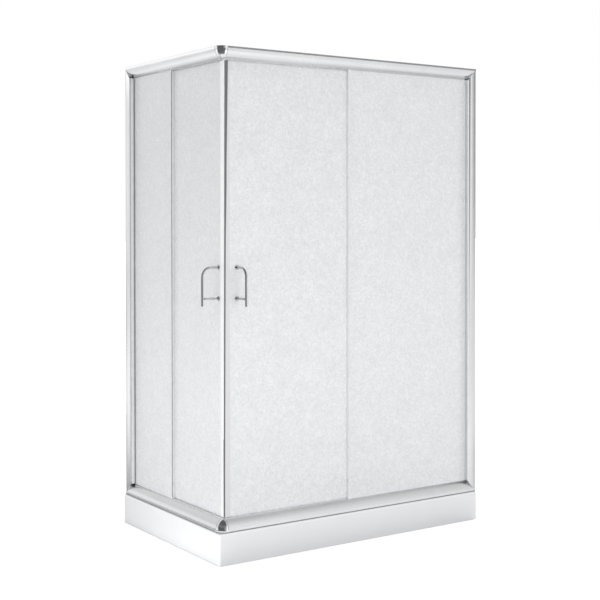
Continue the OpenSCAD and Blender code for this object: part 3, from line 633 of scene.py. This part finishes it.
def make_coil_group():
    """Round wire wound into an upright coil."""
    sizes = ("Turns", "Coil Radius", "Height", "Wire Radius")
    group, ids, given, result = node_group("wound_wire", (
        ("Geometry", "Geometry"), *((label, "Float") for label in sizes),
        ("Wire Sides", "Int"), ("Steps", "Int"), ("Material", "Material")))
    spiral = group.nodes.new("GeometryNodeCurveSpiral")
    ring = group.nodes.new("GeometryNodeCurvePrimitiveCircle")
    wire = group.nodes.new("GeometryNodeCurveToMesh")
    wire.inputs["Fill Caps"].default_value = True
    for label, socket in (
            ("Turns", spiral.inputs["Rotations"]), ("Steps", spiral.inputs["Resolution"]),
            ("Coil Radius", spiral.inputs["Start Radius"]), ("Coil Radius", spiral.inputs["End Radius"]),
            ("Height", spiral.inputs["Height"]), ("Wire Radius", ring.inputs["Radius"]),
            ("Wire Sides", ring.inputs["Resolution"])):
        group.links.new(given.outputs[label], socket)
    group.links.new(spiral.outputs["Curve"], wire.inputs["Curve"])
    group.links.new(ring.outputs["Curve"], wire.inputs["Profile Curve"])
    end_with_finish(group, given, result, wire.outputs["Mesh"])
    return group, ids


SCATTER, SCATTER_IDS = make_scatter_group()
COIL, COIL_IDS = make_coil_group()


def grown_form(points, group, ids, values):
    """Run a Geometry Nodes group over some points and return its result as a form."""
    mesh = bpy.data.meshes.new("points")
    mesh.from_pydata([tuple(p) for p in points], [], [])
    host = put("host", mesh)
    modifier = host.modifiers.new("grown", "NODES")
    modifier.node_group = group
    for label, value in values.items():
        modifier[ids[label]] = value
    bpy.context.view_layer.update()
    result = bpy.data.meshes.new_from_object(host.evaluated_get(bpy.context.evaluated_depsgraph_get()))
    bpy.data.objects.remove(host)
    form = bmesh.new()
    form.from_mesh(result)
    bpy.data.meshes.remove(result)
    bpy.data.meshes.remove(mesh)
    return form


def scatter(stamp_form, points, slot, turn=(0.0, 0.0, 0.0)):
    """Copies of a small form at points in metres, all turned alike."""
    bmesh.ops.recalc_face_normals(stamp_form, faces=stamp_form.faces)
    mesh = bpy.data.meshes.new("stamp")
    stamp_form.to_mesh(mesh)
    stamp_form.free()
    stamp = put("stamp", mesh)
    values = {"Stamp": stamp, "Turn": turn, "Material": FINISHES[slot]}
    form = grown_form(points, SCATTER, SCATTER_IDS, values)
    bpy.data.objects.remove(stamp)
    bpy.data.meshes.remove(mesh)
    return form


def coil(turns, radius, height, wire, sides, steps):
    """A coil of round wire that stands on the origin."""
    return grown_form([(0.0, 0.0, 0.0)], COIL, COIL_IDS, {
        "Turns": turns, "Coil Radius": radius, "Height": height, "Wire Radius": wire, "Wire Sides": sides,
        "Steps": steps, "Material": FINISHES["plated_steel"]})


# Pieces

def make_tray():
    """Moulded tray with rows of low studs against slipping on its floor."""
    stud = bmesh.new()
    dome = [(4.2, -0.4), (4.0, 0.15), (3.2, 0.75), (1.8, 1.1), (0.0, 1.2)]
    turn_profile(stud, dome, (0, 0, 0), (0, 0, 1), 12)
    bmesh.ops.holes_fill(stud, edges=stud.edges, sides=12)
    stud.transform(Matrix.Scale(MM, 4))
    to_frame = side_frame("long")
    points = []
    for row in range(21):
        for column in range(41):
            u, v = 612 + (column - 20) * 22.0 + (row % 2) * 11.0 - 5.5, 411 + (row - 10) * 22.0
            if math.hypot(u - DRAIN_X, v - DRAIN_Y) > 86:
                points.append(to_frame @ Vector((u, v, FLOOR_Z)))
    form = merged_copy("tray")
    add_form(form, scatter(stud, points, "white_acrylic"))
    finish_piece(form, "tray_piece", "root", "white_acrylic", ("tray",), 30.0)


def near(value, target, slack=0.05):
    """Whether two lengths agree."""
    return abs(value - target) < slack


def mitre(side, is_rail, gap=0.0):
    """Slants the ends of rails and posts so that they meet in a mitre at the wall."""
    to_frame, back = side_frame(side), side_frame(side).inverted()
    joint = WALL[side] - POST_W

    def slant(form):
        for vert in form.verts:
            p = back @ vert.co
            way = 1.0 if p.z > CABIN_H / 2 else -1.0
            outer = CABIN_H if way > 0 else TRAY_H
            inner = outer - way * RAIL_H
            if is_rail and near(p.x, joint):
                p.x += POST_W * min(1.0, max(0.0, way * (p.z - inner) / RAIL_H))
            elif not is_rail and abs(p.z - outer) < 6.0:
                p.z = inner + way * (RAIL_H * min(1.0, max(0.0, (p.x - joint) / POST_W)) - gap)
            vert.co = to_frame @ p
    return slant


def make_rails():
    """Rails with a rounded outer edge, and connectors with a bead at each end."""
    for side in SIDES:
        refine(f"{side}_wall_post", 0.4, shape=mitre(side, False))
        refine(f"{side}_wall_channel", 0.3, shape=mitre(side, False, 4.0))
        back = side_frame(side).inverted()
        for level, base in (("top", CABIN_H), ("bottom", TRAY_H)):
            def outer(edge, back=back, base=base):
                ends = [back @ vert.co for vert in edge.verts]
                return all(near(p.y, 0.0) and near(p.z, base) for p in ends)
            edge = 3.8 if (side, level) == ("long", "top") else 1.8
            refine(f"{side}_{level}_rail", edge, 4, 25.0, outer, shape=mitre(side, True))
    for level in ("top", "bottom"):
        refine(f"{level}_corner_connector", 0.0, angle=32.0)
        form = bmesh.new()
        for side in SIDES:
            path = []
            for step in range(25):
                height = 1.1 + 43.8 * step / 24
                inset = RAIL_ROUND_R - math.sqrt(RAIL_ROUND_R ** 2 - max(0.0, height - RAIL_FOOT) ** 2)
                z = CABIN_H - height if level == "top" else TRAY_H + height
                path.append((CORNER_SIZE + 1.0, inset - 0.3, z))
            bead = bmesh.new()
            sweep_tube(bead, path, [1.3] * len(path), 12)
            bead.transform(side_frame(side))
            add_form(form, bead)
        finish_piece(form, f"{level}_connector_beads", "root", "polished_chrome", angle=50.0)


def make_shadow_strip():
    """Grey strip between the bottom rails and the tray, seen as a dark line under the rails: a painted
    shadow for the gap there.
    """
    section = rounded([(-0.9, 0.0), (0.8, 0.0), (0.8, 3.8), (-0.2, 3.8)], 0.5)
    for side in SIDES:
        form = bmesh.new()
        run_outline(form, [(v, TRAY_H + h) for v, h in section], CORNER_SIZE, WALL[side] - 0.5)
        finish_piece(form, f"{side}_sealing_strip", "root", "grey_nylon", (), 60.0, side_frame(side))
    # The same painted shadow line round the corner
    form = bmesh.new()
    section = rounded([(-1.6, 0.0), (0.1, 0.0), (0.1, 3.8), (-0.9, 3.8)], 0.5)
    rings = []
    for k in range(25):
        t = math.pi + k / 24 * math.pi / 2
        ring = []
        for v, h in section:
            u_at, v_at = (CORNER_SIZE + (CORNER_SIZE - v) * part for part in (math.cos(t), math.sin(t)))
            ring.append(form.verts.new((u_at, v_at, TRAY_H + h)))
        rings.append(ring)
    join_rings(form, rings)
    finish_piece(form, "corner_sealing_strip", "root", "grey_nylon", (), 60.0, side_frame("long"))


def make_trims():
    """Covers of the empty glass slots, beads on the panes' upright edges and clips at their corners; the
    short side's beads are grey as painted shade.
    """
    cover = rounded([(24.1, 0.2), (30.9, 0.2), (30.9, 1.6), (29.6, 1.6),
                     (29.6, 4.0), (25.4, 4.0), (25.4, 1.6), (24.1, 1.6)], 0.3)
    clip = rounded([(22.9, -1.6), (24.6, -1.2), (24.6, 7.5), (23.4, 6.0), (22.9, 3.0)], 0.8)
    # Grey beads on the short side: painted shade for the dark lines beside its post and its pane edge
    for side, width, slot in (("long", 2.0, "clear_strip"), ("short", 1.4, "grey_nylon")):
        form = bmesh.new()
        for z, way in ((PANE_FOOT, -1.0), (PANE_HEAD, 1.0)):
            outline = [(v, z + way * h) for v, h in cover]
            run_outline(form, outline, CORNER_SIZE + 0.3, FIXED_START[side] - 1.8)
        finish_piece(form, f"{side}_slot_covers", "root", "clear_strip", (), 50.0, side_frame(side))
        form = bmesh.new()
        end, start = WALL[side] - POST_W, FIXED_START[side] - 1.4
        at_post = [(0.0, 24.9), (-2.8, 24.9), (-2.8, 23.6), (-1.6, 22.2), (0.0, 22.2)]
        stand_outline(form, rounded([(end + a, v) for a, v in at_post], 0.5), PANE_FOOT, PANE_HEAD)
        at_edge = [(-0.3, 24.7), (width, 24.7), (width, 24.95), (-0.05, 24.95), (-0.05, 26.8), (-0.3, 26.8)]
        stand_outline(form, rounded([(start + a, v) for a, v in at_edge], 0.1), PANE_FOOT, PANE_HEAD)
        finish_piece(form, f"{side}_glazing_bead", "root", slot, (), 50.0, side_frame(side))
        form = bmesh.new()
        for z, way in ((PANE_FOOT, 1.0), (PANE_HEAD, -1.0)):
            run_outline(form, [(v, z + way * h) for v, h in clip], start - 1.5, start + 6.0)
        finish_piece(form, f"{side}_pane_clips", "root", "white_nylon", (), 50.0, side_frame(side))


def make_top_reflection_line():
    """Grey strip along the upper edge of the long top rail: a painted dark reflection of its rounded edge.
    """
    section = [(-0.35, -6.8), (-0.35, -1.0), (0.6, -0.05), (4.2, -0.05), (4.2, -0.6), (0.5, -6.8)]
    outline = [(v, CABIN_H + h) for v, h in rounded(section, 0.3)]
    form = bmesh.new()
    run_outline(form, outline, CORNER_SIZE + 2.5, WALL["long"] - 1.0)
    finish_piece(form, "long_top_trim", "root", "grey_nylon", (), 60.0, side_frame("long"))


def make_post_lips():
    """Pale lip along the inner edge of the long side's post, and a pale face on the short side's that is a
    painted reflection of the pane beside it.
    """
    sections = {
        "long": [(-0.4, 6.0), (-0.4, 2.5), (2.6, 1.75), (2.6, 2.6), (0.4, 6.0)],
        # Painted reflection: the short post's return face made pale, as if it mirrored the bright pane
        "short": [(-0.5, 19.0), (-0.5, 8.0), (0.4, 8.0), (0.4, 19.0)],
    }
    for side, section in sections.items():
        end = WALL[side] - POST_W
        outline = rounded([(end + a, v) for a, v in section], 0.3)
        form = bmesh.new()
        stand_outline(form, outline, PANE_FOOT + 2.0, PANE_HEAD - 2.0)
        finish_piece(form, f"{side}_post_lip", "root", "clear_strip", (), 60.0, side_frame(side))


def make_mitre_caps():
    """Plates that close the posts' slanted ends beside the rails."""
    for side in SIDES:
        form = bmesh.new()
        for outer, way in ((CABIN_H, 1.0), (TRAY_H, -1.0)):
            rings = []
            for step in range(9):
                t = CAP_FROM + (CAP_TO - CAP_FROM) * step / 8
                u, z = WALL[side] - POST_W * (1.0 - t), outer - way * RAIL_H * (1.0 - t)
                face = POST_ROUND_R - math.sqrt(POST_ROUND_R ** 2 - (POST_W * (t - 0.5)) ** 2)
                rings.append([form.verts.new((u - 0.1 - a, v, z + way * (0.1 + a)))
                              for v, a in ((face + 0.3, 0.0), (26.0, 0.0), (26.0, 0.5), (face + 0.3, 0.5))])
            join_rings(form, rings)
        finish_piece(form, f"{side}_mitre_caps", "root", "clear_strip", (), 40.0, side_frame(side))


def make_glass():
    """Panes with a polished edge."""
    for side in SIDES:
        back = side_frame(side).inverted().to_3x3()
        for kind in ("fixed", "door"):
            def cut_edge(face, back=back):
                return 0.0 if abs((back @ face.normal).normalized().y) > 0.9 else 1.0
            refine(f"{side}_{kind}_glass", 0.7, 2, 25.0, marks=("cut_edge", cut_edge))


def make_handles():
    """Bent chrome rods with a turned lower post, discs, washers and domed nuts."""
    for side in SIDES:
        form = bmesh.new()
        at_u = HANDLE_U[side]
        path, radii = [], []
        for height, radius in ((0.0, 2.6), (0.35, 3.4), (0.9, 3.95), (1.7, ROD_R)):
            path.append((at_u, BAR_V, BAR_LOW + height))
            radii.append(radius)
        for k in range(21):
            t = math.pi / 2 * k / 20
            path.append((at_u, BAR_V + BEND_R * (1 - math.cos(t)), ARM_Z - BEND_R + BEND_R * math.sin(t)))
            radii.append(ROD_R)
        path.append((at_u, DOOR_V - 2.4, ARM_Z))
        radii.append(ROD_R)
        sweep_tube(form, path, radii, 32)
        reach = DOOR_V - 2.5 - BAR_V
        profile = [(2.6, 0.0), (2.6, ROD_R + 2), (4.2, ROD_R + 5.5), (4.2, reach - 16), (2.8, reach - 13),
                   (2.8, reach - 7), (5.4, reach - 4), (5.6, reach + 0.1)]
        profile = [(0.0, 0.0), *rounded(profile, 1.2, closed=False), (0.0, reach + 0.1)]
        turn_profile(form, profile, (at_u, BAR_V, POST_Z), (0, 1, 0), 40)
        finish_piece(form, f"{side}_handle", f"{side}_door", "polished_chrome",
                     (f"{side}_handle_bar",), 40.0, side_frame(side))
        make_handle_fixings(side)


def make_handle_fixings(side):
    """Discs, studs, clear washers and domed nuts that clamp a handle on its pane."""
    form, washers = bmesh.new(), bmesh.new()
    disc = [(0.0, 0.5), *rounded([(9.0, 0.5), (9.0, 2.5), (5.0, 2.5)], 0.9, closed=False), (0.0, 2.5)]
    nut = [(9.0, 0.6), (9.0, 3.2), (7.6, 5.5), (4.4, 7.0), (0.0, 7.5)]
    nut = [(0.0, 0.6), *rounded(nut, 1.0, closed=False)]
    stud = [(0.0, -0.8), (3.95, -0.8), (3.95, 5.8), (0.0, 5.8)]
    washer = rounded([(4.2, 0.0), (9.3, 0.0), (9.3, 0.55), (4.2, 0.55)], 0.15)
    for z in (ARM_Z, POST_Z):
        outside, inside = (HANDLE_U[side], DOOR_V, z), (HANDLE_U[side], DOOR_V + GLASS_T, z)
        turn_profile(form, disc, outside, (0, -1, 0), 48)
        turn_profile(form, stud, outside, (0, 1, 0), 24)
        turn_profile(form, nut, inside, (0, 1, 0), 48)
        turn_profile(washers, washer, outside, (0, -1, 0), 48, True)
        turn_profile(washers, washer, inside, (0, 1, 0), 48, True)
    door = f"{side}_door"
    finish_piece(form, f"{side}_fixings", door, "polished_chrome", (f"{side}_handle_fixings",), 40.0,
                 side_frame(side))
    finish_piece(washers, f"{side}_washers", door, "clear_strip", (), 40.0, side_frame(side))


def both_faces(half):
    """A wheel's whole profile from the half on one face."""
    return half + [(radius, WHEEL_W - height) for radius, height in reversed(half)]


def make_wheels():
    """Grooved nylon wheels on shielded bearings."""
    tyre = both_faces([(7.4, 0.4), (10.6, 0.0), (11.5, 0.7), (11.4, 1.3), (10.2, 2.3), (10.0, 3.0)])
    for side in SIDES:
        for place, u in WHEEL_U[side].items():
            for level, z, bore in (("top", CABIN_H - AXLE_H, 4.05), ("bottom", TRAY_H + AXLE_H, 3.05)):
                node = f"{side}_{place}_{level}_wheel"
                centre = (u, TRACK_V - WHEEL_W / 2, z)
                form = bmesh.new()
                turn_profile(form, tyre, centre, (0, 1, 0), 48, True)
                finish_piece(form, f"{node}_tyre", node, "white_nylon", (node,), 30.0, side_frame(side))
                bearing = both_faces([(bore, 0.5), (bore + 1.0, 0.5), (bore + 1.1, 0.9),
                                      (6.4, 0.9), (6.5, 0.5), (7.4, 0.5)])
                form = bmesh.new()
                turn_profile(form, bearing, centre, (0, 1, 0), 36, True)
                finish_piece(form, f"{node}_bearing", node, "plated_steel", (), 30.0, side_frame(side))


def make_springs():
    """Coils of round wire under the push buttons."""
    for side in SIDES:
        for place, u in WHEEL_U[side].items():
            node = f"{side}_{place}_spring"
            form = coil(5.5, 3.02, 8.4, 0.5, 8, 22)
            bmesh.ops.translate(form, verts=form.verts, vec=(u, STEM_V, TRAY_H + 44.55))
            piece = finish_piece(form, f"{node}_coil", BODY_OF[node], "plated_steel", (node,), 60.0,
                                 side_frame(side))
            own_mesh(piece)


def make_drain():
    """Domed chrome cover with a pressed ring, and the flange and basket below it."""
    form = bmesh.new()
    centre = (DRAIN_X, DRAIN_Y, 0)
    cover = [(0.0, 76.0), (53.6, 76.0), (54.6, 76.3), (55.0, 77.0), (54.6, 77.8), (53.4, 78.3),
             (50.5, 78.6), (44.0, 78.7), (43.2, 78.35), (42.4, 78.35), (41.6, 78.75), (24.0, 78.95),
             (0.0, 79.0)]
    turn_profile(form, cover, centre, (0, 0, 1), 96)
    stem = [(0.0, 30.0), (4.2, 30.0), (5.0, 30.8), (5.0, 76.1), (0.0, 76.1)]
    turn_profile(form, stem, centre, (0, 0, 1), 24)
    foot = [(0.0, FLOOR_Z + 0.3), (2.5, FLOOR_Z + 0.3), (3.0, FLOOR_Z + 0.8), (3.0, 76.1), (0.0, 76.1)]
    for k in range(4):
        t = math.radians(45 + 90 * k)
        turn_profile(form, foot, (DRAIN_X + 47 * math.cos(t), DRAIN_Y + 47 * math.sin(t), 0), (0, 0, 1), 20)
    finish_piece(form, "drain_cover_piece", "drain_cover", "polished_chrome", ("drain_cover",), 28.0,
                 side_frame("long"))
    refine("drain_flange", 0.3)
    refine("hair_basket", 0.3)


def make_feet():
    """Threaded rods, pads and nuts of the feet."""
    to_frame = side_frame("long")
    points = [to_frame @ Vector((u, v, 0.0)) for u in LEG_X for v in LEG_Y]
    rod = coil(26.0, 4.55 * MM, 39.0 * MM, 0.45 * MM, 6, 16)
    bmesh.ops.translate(rod, verts=rod.verts, vec=(0.0, 0.0, 12.5 * MM))
    core = bmesh.new()
    profile = [(0.0, 4.0), (4.6, 4.0), (4.6, 52.2), (4.0, 53.0), (0.0, 53.0)]
    turn_profile(core, profile, (0, 0, 0), (0, 0, 1), 24)
    core.transform(Matrix.Scale(MM, 4))
    add_form(rod, core)
    form = scatter(rod, points, "plated_steel")
    finish_piece(form, "leg_rods_piece", "root", "plated_steel", ("leg_rods",), 60.0)
    pad = bmesh.new()
    profile = [(0.0, 0.0), (21.2, 0.0), (22.0, 0.8), (22.0, 3.4), (21.2, 4.2), (13.9, 7.6), (12.6, 8.0),
               (5.2, 8.0), (5.2, 5.0), (0.0, 5.0)]
    turn_profile(pad, profile, (0, 0, 0), (0, 0, 1), 48)
    pad.transform(Matrix.Scale(MM, 4))
    form = scatter(pad, points, "grey_nylon")
    finish_piece(form, "foot_pads_piece", "root", "grey_nylon", ("foot_pads",))
    refine("leg_nuts", 0.5, 2, 25.0)


def make_rest():
    """The other metal and plastic parts, with their edges eased."""
    widths = {
        "tray_board": 0.8, "tray_support_tubes": 1.2, "drain_trap": 0.4, "drain_seal": 0.2,
        "door_stops": 0.8, "frame_screws": 0.3, "long_top_hangers": 0.4, "short_top_hangers": 0.4,
        "long_bottom_guides": 0.5, "short_bottom_guides": 0.5, "long_front_carrier": 0.4,
        "long_rear_carrier": 0.4, "short_front_carrier": 0.4, "short_rear_carrier": 0.4,
        "long_magnet_seal": 0.0, "short_magnet_seal": 0.0, "long_overlap_seal": 0.0,
        "short_overlap_seal": 0.0, "fixed_edge_seals": 0.0, "glass_gaskets": 0.0,
    }
    for node, width in widths.items():
        refine(node, width)


# Stage

def floor_darkness(tree, where, spot):
    """Darker patches painted on the floor for mirror finishes: painted dark reflections of the room and
    painted shade beside the short side.
    """
    # The room on the photographer's side
    away = vector_node(tree, "SUBTRACT", where, (CORNER_X * MM, CORNER_Y * MM, 0.0))["Vector"]
    aim = vector_node(tree, "NORMALIZE", away)["Vector"]
    azimuth = math.radians(ROOM_AZIMUTH)
    facing = vector_node(tree, "DOT_PRODUCT", aim, (math.cos(azimuth), math.sin(azimuth), 0.0))["Value"]
    reach = vector_node(tree, "LENGTH", away)["Value"]
    room = times(tree, map_node(tree, facing, 0.47, 0.66, 0.0, 1.0, True),
                 map_node(tree, reach, 0.9, 1.5, 0.0, 0.9, True))
    # A strip behind the cabin
    behind = times(tree, map_node(tree, spot["Y"], 0.6, 1.2, 0.0, 0.5),
                   map_node(tree, spot["Y"], 2.2, 2.8, 1.0, 0.0),
                   map_node(tree, spot["X"], -1.0, -0.5, 0.0, 1.0))
    # Far behind
    far = times(tree, map_node(tree, spot["Y"], 5.0, 8.0, 0.0, 0.35),
                map_node(tree, spot["X"], -4.0, -2.0, 0.0, 1.0))
    # A patch beside the short side
    beside = times(tree, map_node(tree, spot["Y"], -0.1, 0.3, 0.0, 0.42),
                   map_node(tree, spot["X"], -1.8, -1.3, 0.0, 1.0),
                   map_node(tree, spot["Y"], 1.1, 1.5, 1.0, 0.0),
                   math_node(tree, "LESS_THAN", spot["X"], CORNER_X * MM))
    return largest(tree, room, behind, far, beside)


def floor_brightness(tree, spot):
    """Strength of the floor for mirror finishes, before its darker patches."""
    # Even light that fades backwards
    even = map_node(tree, spot["Y"], -1.6, 1.0, 0.4, 0.12)
    # Brighter behind on the left, and far behind only where it is furthest left
    wing = largest(tree, map_node(tree, spot["X"], -4.0, -2.0, 1.0, 0.0),
                   map_node(tree, spot["Y"], 5.5, 8.0, 1.0, 0.0))
    left = times(tree, map_node(tree, spot["X"], -0.6, -2.2, 0.0, 0.6),
                 map_node(tree, spot["Y"], 0.6, 2.5, 0.0, 1.0),
                 map_node(tree, spot["Y"], 5.5, 11.0, 1.0, 0.3), wing)
    # Past the right end: darker in front and brighter behind
    right = total(tree, map_node(tree, spot["Y"], -1.5, -0.8, 0.0, -0.35),
                  map_node(tree, spot["Y"], -0.2, 0.5, 0.0, 0.6))
    right = times(tree, right, map_node(tree, spot["X"], 0.9, 1.5, 0.0, 1.0))
    return largest(tree, total(tree, even, left, right), 0.0)


def make_floor():
    """Wide pale floor, white for the camera."""
    mesh = bpy.data.meshes.new("floor")
    form = bmesh.new()
    bmesh.ops.create_grid(form, x_segments=1, y_segments=1, size=60.0)
    form.to_mesh(mesh)
    form.free()
    floor = put("floor", mesh)
    f = Finish("floor", Roughness=0.8, Emission_Color=(1.0, 1.0, 1.0, 1.0))
    path = f.tree.nodes.new("ShaderNodeLightPath").outputs
    spot = axis_parts(f.tree, f.where)
    dark = times(f.tree, floor_darkness(f.tree, f.where, spot), path["Is Glossy Ray"])
    glow = times(f.tree, floor_brightness(f.tree, spot), math_node(f.tree, "SUBTRACT", 1.0, dark),
                 path["Is Glossy Ray"])
    glow = math_node(f.tree, "MULTIPLY_ADD", path["Is Transmission Ray"], FLOOR_THROUGH_PANE, glow)
    glow = total(f.tree, path["Is Camera Ray"], glow)
    f.tree.links.new(glow, f.shader.inputs["Emission Strength"])
    wear = f.group(WEAR, Smear_Scale=0.6, Speck_Scale=60.0)
    pale = f.ramp(wear.outputs["Smears"], (0.76, 0.76, 0.762), (0.78, 0.78, 0.782))
    # Contact shade along the long side of the tray
    close = map_node(f.tree, spot["Y"], CORNER_Y * MM - 0.3, CORNER_Y * MM - 0.02, 0.0, 1.0, True)
    along = math_node(f.tree, "LESS_THAN", math_node(f.tree, "ABSOLUTE", spot["X"]), -CORNER_X * MM + 0.02)
    shade = times(f.tree, close, along)
    # The floor's colour carries the painted contact shade and the painted dark patches
    f.colour(f.mix(largest(f.tree, shade, dark), pale, (0.05, 0.05, 0.05)))
    mesh.materials.append(f.material)


def make_sky():
    """White for the camera, a studio for reflections and a soft sky for the light."""
    world = bpy.data.worlds.new("studio")
    bpy.context.scene.world = world
    world.use_nodes = True
    tree = world.node_tree
    parts = axis_parts(tree, tree.nodes.new("ShaderNodeTexCoord").outputs["Generated"])
    path = tree.nodes.new("ShaderNodeLightPath").outputs

    def towards(degrees):
        """How far a direction agrees with an azimuth, from -1 to 1."""
        turn = math.radians(degrees)
        across = times(tree, parts["X"], math.cos(turn))
        return math_node(tree, "MULTIPLY_ADD", parts["Y"], math.sin(turn), across)

    # Even studio for reflections, with what each direction adds to it or takes away
    even, least = 0.78, 0.13
    front = map_node(tree, towards(-80.0), 0.7, 0.97, 0.0, 0.32, True)
    right = map_node(tree, towards(0.0), 0.5, 0.95, 0.0, -0.42, True)
    rise = math.radians(35.0)
    room = times(tree, towards(ROOM_AZIMUTH), math.cos(rise))
    room = math_node(tree, "MULTIPLY_ADD", parts["Z"], math.sin(rise), room)
    room = map_node(tree, room, 0.47, 0.63, 0.0, -0.68, True)
    left = times(tree, map_node(tree, towards(128.0), 0.72, 0.97, 0.0, 0.3, True),
                 map_node(tree, parts["Z"], 0.12, 0.26, 1.0, 0.0, True))
    high = map_node(tree, parts["Z"], 0.15, 0.5, 0.0, 0.1, True)
    top = map_node(tree, parts["Z"], 0.62, 0.9, 0.0, -0.25, True)
    mirrored = largest(tree, total(tree, front, right, high, top, room, left, even), least)
    # Soft light on the cabin, stronger from the short side
    soft = map_node(tree, towards(190.0), -0.8, 0.8, 0.6, 0.88, True)
    seen = map_node(tree, path["Is Diffuse Ray"], 0.0, 1.0, mirrored, soft)
    seen = map_node(tree, path["Is Transmission Ray"], 0.0, 1.0, seen, SKY_THROUGH_PANE)
    seen = map_node(tree, path["Is Camera Ray"], 0.0, 1.0, seen, 1.0)
    tree.links.new(seen, tree.nodes["Background"].inputs["Strength"])
    tree.nodes["Background"].inputs["Color"].default_value = (1.0, 1.0, 1.0, 1.0)


def add_softbox(name, at, aim, width, height, power, mirrored):
    """Rectangular lamp that the camera doesn't see, and mirror finishes only where asked."""
    light = bpy.data.lights.new(name, "AREA")
    light.shape = "RECTANGLE"
    light.size, light.size_y, light.energy = width, height, power
    lamp = put(name, light)
    lamp.location = at
    lamp.rotation_mode = "QUATERNION"
    lamp.rotation_quaternion = (Vector(aim) - Vector(at)).to_track_quat("-Z", "Y")
    lamp.visible_glossy = mirrored
    lamp.visible_camera = False


def make_camera():
    """The photograph's viewpoint."""
    data = bpy.data.cameras.new("camera")
    data.sensor_width = SENSOR_MM
    data.lens = FOCAL_PX / FRAME_PX * SENSOR_MM
    data.shift_x = (FRAME_PX / 2 - AXIS_X_PX) / FRAME_PX
    data.shift_y = (AXIS_Y_PX - FRAME_PX / 2) / FRAME_PX
    data.clip_end = 200.0
    camera = put("camera", data)
    level = math.cos(CAMERA_TILT)
    ahead = Vector((math.sin(CAMERA_TURN) * level, math.cos(CAMERA_TURN) * level, -math.sin(CAMERA_TILT)))
    camera.rotation_mode = "QUATERNION"
    camera.rotation_quaternion = ahead.to_track_quat("-Z", "Y")
    camera.location = CAMERA_AT
    bpy.context.scene.camera = camera


make_tray()
make_rails()
make_shadow_strip()
make_trims()
make_top_reflection_line()
make_post_lips()
make_mitre_caps()
make_glass()
make_handles()
make_wheels()
make_springs()
make_drain()
make_feet()
make_rest()
make_floor()
make_sky()
for lamp_facts in LAMPS:
    add_softbox(*lamp_facts)
make_camera()
bpy.context.scene.view_settings.view_transform = "Standard"
